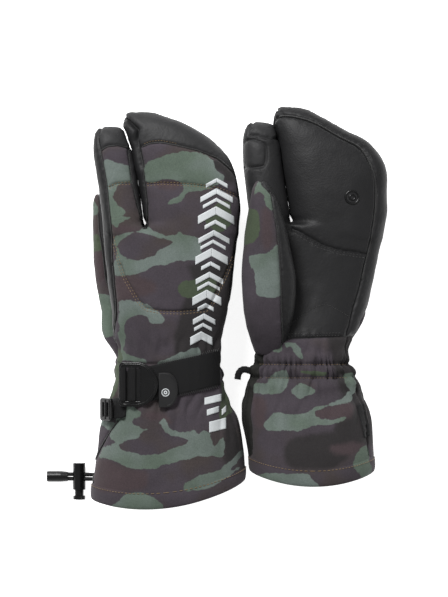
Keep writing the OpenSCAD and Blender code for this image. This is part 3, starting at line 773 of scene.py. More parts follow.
def with_modifiers(verts, faces, setups, slots=None):
    """The mesh after its modifiers, as arrays."""
    mesh = new_mesh("work", verts, faces)
    if slots is not None:
        mesh.polygons.foreach_set("material_index", np.asarray(slots, np.int32))
    obj = new_object("work", mesh)
    for kind, settings in setups:
        modifier = obj.modifiers.new(kind, kind)
        for key, value in settings.items():
            setattr(modifier, key, value)
    depsgraph = bpy.context.evaluated_depsgraph_get()
    result = obj.evaluated_get(depsgraph).to_mesh()
    out_verts, out_faces = mesh_arrays(result)
    out_slots = np.empty(len(result.polygons), np.int32)
    result.polygons.foreach_get("material_index", out_slots)
    normals = vectors(result.vertex_normals, len(out_verts), "vector")
    obj.to_mesh_clear()
    bpy.data.objects.remove(obj)
    bpy.data.meshes.remove(mesh)
    return out_verts, out_faces, out_slots, normals.astype(float)


# Millimetres between the points of a fresh skin.
SKIN_VOXEL = 2.0


def joined(parts):
    verts, faces = [], []
    start = 0
    for v, f in parts:
        verts.append(np.asarray(v, float))
        faces += [tuple(i + start for i in face) for face in f]
        start += len(v)
    return np.concatenate(verts), faces


def skin_round(parts, smoothing):
    """One closed skin round overlapping solids."""
    return with_modifiers(*joined(parts), [
        ("REMESH", {"mode": "VOXEL", "voxel_size": SKIN_VOXEL}),
        ("SMOOTH", {"factor": 0.5, "iterations": smoothing}),
    ])[:2]


# A point nearer than this to a seam line, in millimetres, counts as on it.
ON_SEAM = 0.12


def cut_lines(verts, faces, fields):
    """Cuts a mesh along the zero lines of its fields, so that seams follow mesh edges."""
    bm = bmesh.new()
    for v in verts:
        bm.verts.new(v)
    bm.verts.ensure_lookup_table()
    for f in faces:
        bm.faces.new([bm.verts[i] for i in f])
    for field, region in fields:
        bm.verts.index_update()
        co = np.array([v.co for v in bm.verts], float)
        value = field(co)
        inside = region(co)
        near = np.abs(value) < ON_SEAM
        marked = [v for v in bm.verts if near[v.index] and inside[v.index]]
        split = []
        for e in bm.edges:
            i, j = e.verts[0].index, e.verts[1].index
            if inside[i] and inside[j] and not near[i] and not near[j] and (value[i] > 0) != (value[j] > 0):
                split.append((e, abs(value[i]) / (abs(value[i]) + abs(value[j]))))
        for e, share in split:
            marked.append(bmesh.utils.edge_split(e, e.verts[0], share)[1])
        bmesh.ops.connect_verts(bm, verts=marked)
    bm.verts.index_update()
    out_verts = np.array([v.co for v in bm.verts], float)
    out_faces = [tuple(v.index for v in f.verts) for f in bm.faces]
    bm.free()
    return out_verts, out_faces


def face_centres(verts, faces):
    centres = np.array([verts[list(f)].mean(0) for f in faces])
    normals = []
    for f in faces:
        a, b, c = verts[f[0]], verts[f[len(f) // 3]], verts[f[2 * len(f) // 3]]
        normals.append(np.cross(b - a, c - a))
    normals = np.array(normals)
    return centres, normals / np.maximum(np.linalg.norm(normals, axis=1)[:, None], 1e-9)


def lumps(p, scale, seed):
    """Smooth noise from -1 to 1 at each point."""
    q = p / scale + seed
    return np.array([noise.noise(Vector(v)) for v in q])


# ---------------------------------------------------------------- fabric shells

LABELS = [
    "cuff_back", "cuff_palm", "cuff_gusset", "yoke", "hand_back", "centre_mitt", "centre_index", "mitt_back",
    "index_back", "mitt_cap", "index_cap", "strip_lower", "strip_index", "fork_index", "fork_mitt",
    "edge_mitt", "edge_lower", "upper_palm", "palm_lower", "palm_mitt", "palm_index", "index_patch",
    "index_palm",
]
NUMBER = {n: i for i, n in enumerate(LABELS)}
UNSEWN = [{"hand_back", "centre_mitt"}, {"hand_back", "centre_index"}, {"centre_mitt", "centre_index"},
          {"strip_lower", "strip_index"}, {"edge_lower", "edge_mitt"}, {"palm_lower", "palm_mitt"},
          {"palm_lower", "palm_index"}, {"palm_mitt", "palm_index"}, {"yoke", "centre_mitt"},
          {"yoke", "centre_index"}, {"upper_palm", "palm_index"}, {"index_palm", "palm_index"}]
DROPPED = -1


def mid_height(y):
    """The height of the hand's middle line."""
    return np.where(y < FORK_ROOT_Y, HAND.at(y)[..., 2], np.interp(y, [FORK_ROOT_Y, 150], [1.0, 0.5]))


def back_height(h):
    """Height over the line where the back fabric meets the palm side's gusset."""
    centre, width, depth = CAMO_EDGE_DIP
    x, y = h[:, 0], h[:, 1]
    dip = np.where(x > 0, depth * bell(y, centre, width), 0)
    edge = np.where(x > 0, 6.5 / (1 + np.exp((45 - y) / 4)) / (1 + np.exp((y - 160) / 4)), 0)
    return h[:, 2] - mid_height(y) + dip - edge


def gusset_angle(mitten, y):
    """Where the cuff's back panel ends on the thumb side, as an angle round the section."""
    return GUSSET_ANGLE(y) if mitten is RIGHT else np.full(np.shape(y), HIDDEN_GUSSET_ANGLE)


def palm_angle(mitten, y):
    """Where the cuff's palm panel begins on the thumb side, as an angle round the section."""
    return LEFT_PALM_ANGLE(y) if mitten is LEFT else np.full(np.shape(y), HIDDEN_PALM_ANGLE)


def cuff_angle(mitten, p):
    s = mitten.cuff.at(p[:, 1])
    return np.degrees(np.arctan2((p[:, 2] - s[:, 2]) / s[:, 3], (p[:, 0] - s[:, 0]) / s[:, 1])) % 360


def past(curve):
    """How far points lie beyond a line that gives y at x."""
    return lambda h: h[:, 1] - curve(h[:, 0])


def beside(curve):
    """How far points lie to the side of a line that gives x at y."""
    return lambda h: h[:, 0] - curve(h[:, 1])


def within(loop):
    """How far points lie inside a closed plan outline."""
    return lambda h: signed_distance(loop, h[:, 0], h[:, 1])


def hand_fields(mitten):
    """The seam lines to cut, each with the region where it runs."""
    def back(h):
        return (h[:, 1] > CUFF_TOP_Y - 4) & (h[:, 2] > mid_height(h[:, 1]) - 2)

    def palm(h):
        return (h[:, 1] > 8) & (h[:, 2] < mid_height(h[:, 1]) + 2)

    def on_mitt(h):
        return h[:, 0] > FORK_X(h[:, 1])

    def on_index(h):
        return h[:, 0] < FORK_X(h[:, 1])

    def in_hand(test):
        return lambda p: test(mitten.to_hand(p))

    def in_cuff(angle_at, top):
        return (lambda p: cuff_angle(mitten, p) - angle_at(mitten, p[:, 1]),
                lambda p: (p[:, 1] < top) & (p[:, 0] < -10))

    seams = [
        (lambda h: h[:, 1] - ZONE_Y, lambda h: h[:, 1] > 0),
        (beside(FORK_X), lambda h: (h[:, 1] > ZONE_Y - 3) & (h[:, 1] < 122)),
        (back_height, lambda h: h[:, 1] > 8),
        (beside(STRIP_X), back),
        (past(MITT_CAP_Y), lambda h: back(h) & on_mitt(h)),
        (past(INDEX_CAP_Y), lambda h: back(h) & on_index(h)),
        (beside(INDEX_INNER_X), lambda h: back(h) & on_index(h) & (h[:, 1] > 108) & (h[:, 1] < 184)),
        (beside(MITT_INNER_X), lambda h: back(h) & on_mitt(h) & (h[:, 1] > 108)),
        (past(KNUCKLE_Y), back),
        (past(YOKE_Y), back),
        (within(PALM_LOOP), lambda h: palm(h) & (h[:, 1] > 12)),
        (past(PALM_SPLIT_Y), palm),
        (lambda h: h[:, 1] - PALM_EDGE_Y - PALM_EDGE_SLOPE * h[:, 0], palm),
        (within(PATCH_LOOP), lambda h: palm(h) & on_index(h)),
        (lambda h: h[:, 1] - CUFF_TOP_Y, back),
    ]
    return [(in_hand(field), in_hand(region)) for field, region in seams] + [
        in_cuff(gusset_angle, 12),
        in_cuff(palm_angle, 22),
        (lambda p: (cuff_angle(mitten, p) + 180) % 360 - (OUTER_CUFF_ANGLE - 180),
         lambda p: (p[:, 1] < 22) & (p[:, 0] > 10)),
    ]


def hand_labels(mitten, centres, normals):
    """Which panel each face belongs to."""
    h = mitten.to_hand(centres)
    x, y = h[:, 0], h[:, 1]
    up = back_height(h) > 0
    mitt = x > FORK_X(y)
    angle = cuff_angle(mitten, centres)
    label = np.full(len(h), NUMBER["palm_lower"])

    def put(name, where):
        label[where] = NUMBER[name]

    palm_top = y > PALM_EDGE_Y + PALM_EDGE_SLOPE * x
    in_loop = signed_distance(PALM_LOOP, x, y) > 0
    in_patch = signed_distance(PATCH_LOOP, x, y) > 0
    above_split = y > PALM_SPLIT_Y(x)
    high = y > ZONE_Y
    # palm side
    put("edge_lower", ~up & palm_top & ~in_loop & (x > 0) & ~high)
    put("strip_lower", ~up & palm_top & (x < STRIP_X(y) + 4) & ~high)
    put("palm_mitt", ~up & high & mitt & in_loop & ~above_split)
    put("palm_index", ~up & high & ~mitt)
    put("upper_palm", ~up & high & mitt & in_loop & above_split)
    beyond = ~up & high & mitt & ~in_loop
    inner = x <= MITT_INNER_X(y) + 2
    put("edge_mitt", beyond & ~inner)
    put("fork_mitt", beyond & inner & (y > FORK_ROOT_Y))
    put("palm_mitt", beyond & inner & (y <= FORK_ROOT_Y))
    put("index_palm", ~up & (y > 150) & ~mitt)
    put("index_patch", ~up & ~mitt & in_patch)
    # back
    put("yoke", up & (y < YOKE_Y(x)))
    put("hand_back", up & (y >= YOKE_Y(x)) & ~high)
    put("centre_mitt", up & high & mitt & (y < KNUCKLE_Y(x)))
    put("centre_index", up & high & ~mitt & (y < KNUCKLE_Y(x)))
    put("mitt_back", up & mitt & (y >= KNUCKLE_Y(x)))
    put("index_back", up & ~mitt & (y >= KNUCKLE_Y(x)))
    put("mitt_cap", up & mitt & (y > MITT_CAP_Y(x)))
    put("index_cap", up & ~mitt & (y > INDEX_CAP_Y(x)))
    put("index_cap", ~mitt & (y > 184) & (x > STRIP_X(y)))
    put("strip_lower", up & (x < STRIP_X(y)) & ~high & (y > CUFF_TOP_Y))
    put("strip_index", up & (x < STRIP_X(y)) & high)
    put("fork_index", up & ~mitt & (x > INDEX_INNER_X(y)) & (y > 112) & (y < INDEX_CAP_Y(x)))
    put("fork_mitt", up & mitt & (x < MITT_INNER_X(y)) & (y > 112))
    # cuff
    wrist = (up & (y < CUFF_TOP_Y)) | (~up & ~palm_top)
    put("cuff_back", wrist)
    edge = palm_angle(mitten, centres[:, 1])
    put("cuff_palm", wrist & (angle > edge) & (angle < OUTER_CUFF_ANGLE))
    put("cuff_gusset", wrist & (angle > gusset_angle(mitten, centres[:, 1])) & (angle <= edge))
    end = mitten.hem_y + 16
    label[(centres[:, 1] < end) & (normals[:, 1] < -0.75)] = DROPPED
    return label


def ridges(p, pitch, stretch, seed, where):
    """Rounded folds that run along the hand, from -0.5 to about 1, where they are wanted."""
    out = np.zeros(len(p))
    index = np.nonzero(where > 0.03)[0]
    q = p[index] / (pitch, stretch * pitch, pitch) + seed
    out[index] = 2.2 * np.abs([noise.noise(Vector(v)) for v in q]) - 0.5
    return out * where


def gathers(mitten, p, h):
    """How far the fabric stands out in its folds, gathers and lumps."""
    out = 0.7 * lumps(p, 34.0, 5 + mitten.seed) + 0.28 * lumps(p, 11.0, 9 + mitten.seed)
    y = p[:, 1]
    palm_side = grade(p[:, 2], -6, -18)
    back_side = 1 - palm_side
    at_wrist = bell(y, -11, 19.0)
    middle = bell(y, -11, 12.0)
    out += 5.4 * ridges(p, 4.6, 5, 2 + mitten.seed, palm_side * at_wrist * middle)
    out += 4.8 * ridges(p, 9.0, 5, 4 + mitten.seed, palm_side * at_wrist * (1 - middle))
    for line in ELASTIC_ROWS:
        out -= 2.3 * palm_side * bell(y, line, 1.8)
    swell = 0.6 + 0.5 * lumps(p, 12.0, 31 + mitten.seed)
    for line, width in ELASTIC_SWELLS:
        out += 1.7 * palm_side * swell * bell(y, line, width)
    near_strap = bell(y, 13, 8.0) + bell(y, -37, 9.0)
    out += 2.8 * ridges(p, 9.0, 4, 7 + mitten.seed, back_side * near_strap)
    out += 2.2 * ridges(p, 14.0, 5, 11 + mitten.seed, bell(y, -46, 20.0))
    if mitten is LEFT:
        out += 1.2 * grade(p[:, 0], -29, -41) * (bell(y, -11, 4.5) + bell(y, 2, 4.0))
        out += 3.5 * np.exp(-((h[:, 0] - 53) ** 2 + (h[:, 1] - 168) ** 2) / 15.0**2)
    crease = path_distance(CAP_CREASE, h[:, 0], h[:, 1])
    out += back_height(h).clip(0, 1) * (0.7 * bell(crease, 5, 3.0) - 2.4 * bell(crease, 0, 1.7))
    fork = np.hypot(h[:, 0] + 20.5, h[:, 1] - 110)
    return out - 1.3 * bell(fork, 0, 5.0)


def settled(mitten, p, hand=False):
    """Lets the right thumb's root bulge out and the left wrist and fingertips lie over."""
    h = p.copy() if hand else mitten.to_hand(p)
    x, y = h[:, 0].copy(), h[:, 1].copy()
    if mitten is RIGHT:
        h[:, 0] -= 5.5 * bell(y, 20, 15.0) * grade(x, -30, -46)
        h[:, 0] -= 4.0 * bell(y, -5, 8.0) * grade(x, -30, -40)
        return h if hand else mitten.from_hand(h)
    rise = grade(y, 105, 165)
    h[:, 0] -= 7.5 * bell(y, 7, 16.0) * grade(x, 0, 35)
    h[:, 0] -= 4.3 * rise * rise * (3 - 2 * rise) * grade(x, 42, -20)
    h[:, 1] += 3.2 * grade(y, 180, 200) * grade(x, 20, -10) * (x > FORK_X(y))
    corner = np.exp(-((x - 37) ** 2 + (y - 185) ** 2) / 16.0**2)
    h[:, 0] += 2.8 * corner
    h[:, 1] += 3.6 * corner
    return h if hand else mitten.from_hand(h)


# How far the index and the mitt are each moved aside while the skin is made.
FORK_OPENING = 3.2
# Their walls end up this far from the fork's line.
FORK_GAP = 0.35


def fork_ease(y):
    """How much of the fork's opening applies: none at its root and past the index's tip."""
    return grade(y, FORK_ROOT_Y, FORK_ROOT_Y + 7) * grade(y, 205, 197)


def open_fork(skin, sign, h):
    """Keeps the index and the mitt apart while the skin is made, so that each has its own side wall."""
    s = skin.at(h[:, 1])
    share = np.clip(-sign * (h[:, 0] - s[:, 0]) / s[:, 1], 0, 1)
    h[:, 0] += sign * FORK_OPENING * share**4 * fork_ease(h[:, 1])
    return h


def close_fork(mitten, p):
    """Moves the index and the mitt sideways until they touch along the fork."""
    h = mitten.to_hand(p)
    x, y = h[:, 0], h[:, 1]
    ease = fork_ease(y)
    for skin, sign in ((INDEX, -1), (MITT, 1)):
        s = skin.at(y)
        half = s[:, 1] - FORK_OPENING * ease
        edge = s[:, 0] - sign * half
        share = np.clip(-sign * (x - s[:, 0]) / half, 0, 1.0)
        chosen = (y > FORK_ROOT_Y) & (sign * (x - FORK_X(y)) > -0.5)
        target = FORK_X(y) + sign * FORK_GAP
        h[:, 0] += np.where(chosen, share**4 * (target - edge) * ease, 0)
    return mitten.from_hand(h)


def dressed(verts, faces, slots, normals, offset, sewn):
    """Moves the skin out by offset, pulls it in at its seams and rounds the panels between them."""
    edge_labels = {}
    for f, s in zip(faces, slots):
        for i in f:
            edge_labels.setdefault(i, set()).add(int(s))
    seam = [i for i, labels in edge_labels.items() if len(labels) > 1 and sewn(labels)]
    tree = kdtree.KDTree(len(seam))
    for k, i in enumerate(seam):
        tree.insert(verts[i], k)
    tree.balance()
    distance = np.array([tree.find(v)[2] for v in verts])
    pucker = lumps(verts, 3.2, 13)
    groove = -(1.5 + 0.6 * pucker) * bell(distance, 0, 1.5)
    round_out = 1 - np.exp(-distance / 7.0) + 0.5 * pucker * bell(distance, 0, 5.0)
    return verts + normals * (offset + groove + round_out)[:, None]


def is_sewn(labels):
    names = sorted({LABELS[i] for i in labels if i >= 0})
    return any({a, b} not in UNSEWN for a in names for b in names if a < b)


def body_mesh(mitten):
    """The mitten's outer skin, without its thumb: points, faces, panel of each face, normals."""
    parts = [solid_loft(mitten.cuff, mitten.hem_y + 6, 14)]
    for skin, sign, y0, y1 in ((HAND, 0, 6, FORK_ROOT_Y), (INDEX, -1, 106, 197.5), (MITT, 1, 106, 209.5)):
        v, f = solid_loft(skin, y0, y1)
        v = open_fork(skin, sign, v) if sign else v
        parts.append((mitten.from_hand(v), f))
    verts, faces = skin_round(parts, 10)
    verts = close_fork(mitten, verts)
    verts, faces = cut_lines(verts, faces, hand_fields(mitten))
    centres, face_normals = face_centres(verts, faces)
    label = hand_labels(mitten, centres, face_normals)
    kept = [(f, s) for f, s in zip(faces, label) if s != DROPPED]
    faces = [f for f, s in kept]
    label = np.array([s for f, s in kept])
    verts, faces, label, normals = with_modifiers(verts, faces, [("SUBSURF", {"levels": 1})], label)
    h = mitten.to_hand(verts)
    verts = dressed(verts, faces, label, normals, gathers(mitten, verts, h), is_sewn)
    return settled(mitten, verts), faces, label


def split_pieces(mitten, verts, faces, label, names, looks, camo):
    """One object for each panel, with the whole skin's shading across unsewn cuts."""
    mesh = new_mesh("whole", verts, faces)
    mesh.update()
    normals = vectors(mesh.vertex_normals, len(verts), "vector")
    bpy.data.meshes.remove(mesh)
    out = {}
    for number, name in enumerate(names):
        chosen = [f for f, s in zip(faces, label) if s == number]
        if not chosen:
            continue
        used = sorted({i for f in chosen for i in f})
        place = {v: k for k, v in enumerate(used)}
        part = [tuple(place[i] for i in f) for f in chosen]
        material, slot_name = looks(name)
        obj = piece(mitten, name, verts[used], part, material)
        if material is CAMO:
            paint(obj, {colour: value[used] for colour, value in camo.items()})
        turned = normals[used] * (1, 1, mitten.flip)
        obj.data.normals_split_custom_set_from_vertices([tuple(n) for n in turned])
        out[name] = obj
    return out


CAMO_PANELS = {"cuff_back", "cuff_palm", "yoke", "hand_back", "centre_mitt", "centre_index", "mitt_back",
               "index_back", "thumb_camo"}
CAPS = {"mitt_cap", "index_cap", "index_patch"}


def look_of(mitten):
    def look(name):
        if name in CAMO_PANELS or (name == "cuff_gusset" and mitten is RIGHT):
            return CAMO, "camo_fabric"
        # On the left mitten the gusset gets near-black cloth as painted shade; on the right it is camouflage.
        if name == "cuff_gusset":
            return PAINTED_SHADE_GUSSET, "black_leather"
        return (CAP_LEATHER if name in CAPS else LEATHER), "black_leather"
    return look


# Each bending zone: the bodies on its two sides, the y range over which it bends, and its x.
BENDS = {
    "wrist": ("gauntlet", "hand", -8, 30, 0),
    "mitt": ("hand", "mitt", 118, 172, 15),
    "index": ("hand", "index", 134, 166, -46),
    "thumb": ("hand", "thumb", 12, 52, -38),
}


def bend_between(mitten, obj, zone):
    """Ties a cuff piece to the gauntlet body; any other piece only has its transform baked into its points.
    """
    if zone == "cuff":
        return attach(obj, mitten.body("gauntlet"))
    first, second, y0, y1, x = BENDS[zone]
    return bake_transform(obj, mitten.body(first), mitten.body(second),
                    mitten.hand_point(x, y0, 0), mitten.hand_point(x, y1, 0))


ZONE_OF = {
    "mitt": {"centre_mitt", "mitt_back", "mitt_cap", "fork_mitt", "edge_mitt", "upper_palm", "palm_mitt"},
    "index": {"centre_index", "index_back", "index_cap", "strip_index", "fork_index", "palm_index",
              "index_patch", "index_palm"},
}


def zone_of(name):
    for zone, names in ZONE_OF.items():
        if name in names:
            return zone
    return "wrist"


# The CAD nodes that each panel replaces, without their mitten's name, on both mittens and on one.
REPLACED = {
    "cuff_back": ["gauntlet_back"], "cuff_palm": ["gauntlet_palm", "wrist_elastic"],
    "cuff_gusset": ["gauntlet_gusset"], "yoke": ["yoke_panel"], "hand_back": ["hand_back"],
    "strip_lower": ["side_strip"], "palm_lower": ["palm_leather"], "edge_lower": ["edge_gusset"],
    "centre_index": ["index_base"], "centre_mitt": ["knuckle_panel"], "upper_palm": ["upper_palm"],
    "fork_mitt": ["fourchette"], "thumb_leather": ["thumb_base"],
}
REPLACED_BY_SIDE = {
    "right": {"index_back": ["index_back"], "index_palm": ["index_palm"], "index_cap": ["index_cap"],
              "mitt_back": ["mitt_back"], "edge_mitt": ["mitt_palm"], "mitt_cap": ["mitt_cap"],
              "thumb_camo": ["thumb_back", "thumb_tip"], "thumb_leather": ["thumb_leather", "thumb_base"]},
    "left": {"index_back": ["index_tip"], "mitt_back": ["mitt_tip"],
             "thumb_camo": ["thumb_shell", "thumb_tip"]},
}


def replace_nodes(mitten, name):
    nodes = {**REPLACED, **REPLACED_BY_SIDE[mitten.name]}.get(name, [])
    if nodes:
        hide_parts(*[mitten.name + "_" + n for n in nodes])


THUMB_LABELS = ["thumb_camo", "thumb_leather"]


def thumb_mesh(mitten):
    v, f = solid_loft(THUMB, 0, 145)
    verts, faces = skin_round([(mitten.from_thumb(v), f)], 4)

    def seam(p):
        h = mitten.to_thumb(p)
        low = h[:, 2] < THUMB.at(h[:, 1])[:, 2]
        return h[:, 0] - np.where(low, THUMB_SEAM_X(h[:, 1]), THUMB_BACK_X(h[:, 1]))

    verts, faces = cut_lines(verts, faces, [(seam, lambda p: np.ones(len(p), bool))])
    centres, _ = face_centres(verts, faces)
    label = np.where(seam(centres) < 0, 0, 1)
    verts, faces, label, normals = with_modifiers(verts, faces, [("SUBSURF", {"levels": 1})], label)
    offset = 0.7 * lumps(verts, 24.0, 3 + mitten.seed) + 0.3 * lumps(verts, 9.0, 6 + mitten.seed)
    verts = dressed(verts, faces, label, normals, offset, lambda labels: True)
    return settled(mitten, verts) if mitten is RIGHT else verts, faces, label


def shoot(tree, x, y, direction):
    """The skin's point and normal at a plan point, seen from the back (1) or the palm (-1)."""
    return tree.ray_cast(Vector((x, y, 120 * direction)), Vector((0, 0, -direction)))[:2]


def build_shells(mitten):
    verts, faces, label = body_mesh(mitten)
    mid = np.where(verts[:, 1] < 12, mitten.cuff.at(verts[:, 1])[:, 2], mid_height(verts[:, 1]))
    camo = camo_values(verts, mid, BACK_CAMO, PALM_CAMO)
    pieces = split_pieces(mitten, verts, faces, label, LABELS, look_of(mitten), camo)
    thumb_verts, thumb_faces, thumb_label = thumb_mesh(mitten)
    camo = camo_values(thumb_verts, THUMB.at(thumb_verts[:, 1])[:, 2], THUMB_BACK_CAMO, THUMB_PALM_CAMO)
    thumb = split_pieces(mitten, thumb_verts, thumb_faces, thumb_label, THUMB_LABELS, look_of(mitten), camo)
    for name, obj in {**pieces, **thumb}.items():
        bend_between(mitten, obj, "thumb" if name in thumb else zone_of(name))
        replace_nodes(mitten, name)
    skin_tree = BVHTree.FromPolygons([Vector(v) for v in verts], faces)
    thumb_tree = BVHTree.FromPolygons([Vector(v) for v in thumb_verts], thumb_faces)
    return skin_tree, thumb_tree


# ---------------------------------------------------------------- hem and lining

def ring_piece(mitten, name, skin, profile, around, material, hand=False):
    """A ring round a skin, swept from a profile of (y, distance out) points."""
    angles = np.linspace(0, 2 * math.pi, around, endpoint=False)
    rows = [skin.points(np.full(around, y), angles, grow) for y, grow in profile]
    verts = np.concatenate(rows)
    faces = loft_faces(len(profile), around, True)
    wobble = 0.5 * lumps(verts, 26.0, 8 + mitten.seed)
    centre = skin.at(verts[:, 1])[:, [0, 2]]
    out = verts[:, [0, 2]] - centre
    out /= np.linalg.norm(out, axis=1)[:, None]
    verts[:, 0] += out[:, 0] * wobble
    verts[:, 2] += out[:, 1] * wobble
    obj = piece(mitten, name, settled(mitten, verts, hand), faces, material)
    if material is CAMO:
        paint(obj, camo_values(verts, skin.at(verts[:, 1])[:, 2], BACK_CAMO, PALM_CAMO))
    return obj


def build_hem(mitten):
    y = mitten.hem_y
    top = y + HEM_HEIGHT
    profile = [(top + 3, -3.4), (top + 2.6, -0.9), (top + 0.6, -0.3), (top - 0.6, 0.6), (top - 3, 1.4),
               (top - 7, 1.5), (y + 2.5, 1.2), (y + 0.6, 0.6), (y, -0.6), (y + 0.2, -2.2), (y + 1.4, -3.4),
               (y + 6, -3.9), (top, -4.1)]
    hem = ring_piece(mitten, "hem_band", mitten.cuff, profile, 320, CAMO)
    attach(hem, mitten.body("gauntlet"))
    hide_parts(mitten.name + "_hem_band")


def build_lining(mitten):
    ys = np.linspace(mitten.hem_y + 9, 16, 26)
    outer = [(y, -4.6) for y in ys]
    inner = [(y, -6.2) for y in reversed(ys)]
    profile = outer + inner + outer[:1]
    cuff_part = ring_piece(mitten, "lining_cuff", mitten.cuff, profile, 96, KNIT)
    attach(cuff_part, mitten.body("gauntlet"))
    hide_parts(mitten.name + "_gauntlet_lining")
    ys = np.linspace(20, 104, 16)
    profile = [(y, -5.0) for y in ys] + [(y, -6.6) for y in reversed(ys)] + [(ys[0], -5.0)]
    hand_part = ring_piece(mitten, "lining_hand", HAND, profile, 80, KNIT, True)
    if mitten.turn:
        centre = Vector(mitten.world([[0, 0, 0]])[0])
        turn_about(hand_part, centre, mitten.turn)
    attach(hand_part, mitten.body("hand"))
    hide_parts(mitten.name + "_hand_lining")


def turn_about(obj, centre, angle):
    """Turns an object's points about an upright line."""
    c, s = math.cos(angle), math.sin(angle)
    for v in obj.data.vertices:
        d = v.co - centre
        v.co = centre + Vector((d.x * c - d.y * s, d.x * s + d.y * c, d.z))


# ---------------------------------------------------------------- stitches, piping and print

def plan_path(points, spacing):
    """Evenly spaced points on a smooth open line through plan points."""
    p = np.array(points, float)
    p = np.vstack([2 * p[0] - p[1], p, 2 * p[-1] - p[-2]])
    fine = []
    for i in range(1, len(p) - 2):
        fine += [spline(*p[i - 1:i + 3], t) for t in np.linspace(0, 1, 24, endpoint=False)]
    fine = np.array(fine + [p[-2]])
    along = np.concatenate([[0], np.cumsum(np.linalg.norm(np.diff(fine, axis=0), axis=1))])
    steps = np.arange(0, along[-1], spacing)
    return np.stack([np.interp(steps, along, fine[:, k]) for k in range(2)], -1)


def shifted(path, distance):
    """The same plan line moved sideways."""
    d = np.gradient(path, axis=0)
    n = np.stack([-d[:, 1], d[:, 0]], -1) / np.maximum(np.linalg.norm(d, axis=1)[:, None], 1e-9)
    return path + n * distance


def on_skin(mitten, tree, path, direction, lift, hand=True):
    """Plan points in the hand's frame laid on the skin: points and normals in the mitten's frame."""
    flat = np.column_stack([path, np.zeros(len(path))])
    flat = mitten.from_hand(settled(mitten, flat, True)) if hand else flat
    points, normals = [], []
    for x, y, _ in flat:
        co, n = shoot(tree, x, y, direction)
        if co is None:
            continue
        points.append(np.array(co) + np.array(n) * lift)
        normals.append(np.array(n))
    return np.array(points), np.array(normals)


def tube_part(points, radius, sides=6, flatten=1.0, normals=None):
    """A closed tube along points."""
    points = np.asarray(points, float)
    tangent = np.gradient(points, axis=0)
    tangent /= np.maximum(np.linalg.norm(tangent, axis=1)[:, None], 1e-9)
    up = np.tile([0.0, 0.0, 1.0], (len(points), 1)) if normals is None else np.asarray(normals)
    side = np.cross(tangent, up)
    side /= np.maximum(np.linalg.norm(side, axis=1)[:, None], 1e-9)
    up = np.cross(side, tangent)
    verts = []
    radius = np.broadcast_to(radius, (len(points),))
    for p, s, u, r in zip(points, side, up, radius):
        for k in range(sides):
            a = 2 * math.pi * k / sides
            verts.append(p + s * r * math.cos(a) + u * r * flatten * math.sin(a))
    return np.array(verts), turned_over(tube_faces(len(points), sides))


# Millimetres between the points of a line of stitches and of piping on the skin.
STITCH_STEP = 0.4
PIPE_STEP = 1.2


class Threads:
    """Thread, piping and print gathered into one piece per zone."""

    def __init__(self, mitten, name, material, slot_name):
        self.mitten, self.name, self.material, self.slot_name = mitten, name, material, slot_name
        self.parts = {}

    def add(self, zone, part):
        self.parts.setdefault(zone, []).append(part)

    def stitches(self, tree, path, direction, zone, length=2.3, gap=0.9, radius=0.34, hand=True):
        line = plan_path(path, STITCH_STEP)
        points, normals = on_skin(self.mitten, tree, line, direction, 0.1, hand)
        if len(points) < 6:
            return
        per, step = int(length / STITCH_STEP), int((length + gap) / STITCH_STEP)
        for start in range(0, len(points) - per, step):
            p, n = points[start:start + per + 1], normals[start:start + per + 1]
            if np.linalg.norm(p[-1] - p[0]) > 2.2 * length:
                continue
            p, n = p[::2], n[::2]
            swell = radius * np.array([0.55] + [1.0] * (len(p) - 2) + [0.55])
            self.add(zone(p.mean(0)) if callable(zone) else zone, tube_part(p, swell, 5, 1.0, n))

    def pipe(self, tree, path, direction, zone, radius=0.8, hand=True):
        line = plan_path(path, PIPE_STEP)
        points, normals = on_skin(self.mitten, tree, line, direction, 0.2, hand)
        runs, run = [], [0]
        for i in range(1, len(points)):
            if np.linalg.norm(points[i] - points[i - 1]) > 6:
                runs.append(run)
                run = []
            run.append(i)
        runs.append(run)
        for run in runs:
            if len(run) > 3:
                self.add(zone, tube_part(points[run], radius, 8, 1.0, normals[run]))

    def build(self):
        for zone, parts in self.parts.items():
            verts, faces = joined(parts)
            obj = piece(self.mitten, f"{self.name}_{zone}", verts, faces, self.material)
            bend_between(self.mitten, obj, zone)


def line_on(curve, x0, x1, count=12):
    xs = np.linspace(x0, x1, count)
    return [(x, float(curve(x))) for x in xs]


def line_up(curve, y0, y1, count=12):
    ys = np.linspace(y0, y1, count)
    return [(float(curve(y)), y) for y in ys]


def shift_line(points, distance):
    return [tuple(p) for p in shifted(np.array(points, float), distance)]


def hand_zone(mitten):
    def zone(p):
        h = mitten.to_hand(np.array([p]))[0]
        if h[1] < ZONE_Y:
            return "wrist"
        return "mitt" if h[0] > FORK_X(h[1]) else "index"
    return zone


# The piping down the right cuff's thumb side.
CUFF_PIPING = [(-42.6, -50.6), (-49.4, -60.4), (-56.2, -71.1), (-61.1, -80.9), (-63.5, -89.6), (-64, -104.2)]
# Stitching on the palm: a curved seam above the wrist, and the lower end of the index's patch.
HEEL_STITCHES = [(-13, 28.7), (-6, 35.3), (3, 42), (13.6, 46.4), (24, 43), (35, 38)]
PATCH_STITCHES = [(-61.5, 160.5), (-56, 158.4), (-49, 159.4), (-44.5, 162)]
# The part of the palm panel's outline that has piping.
PIPED_PALM = slice(30, 95)
BACK, PALM = 1, -1


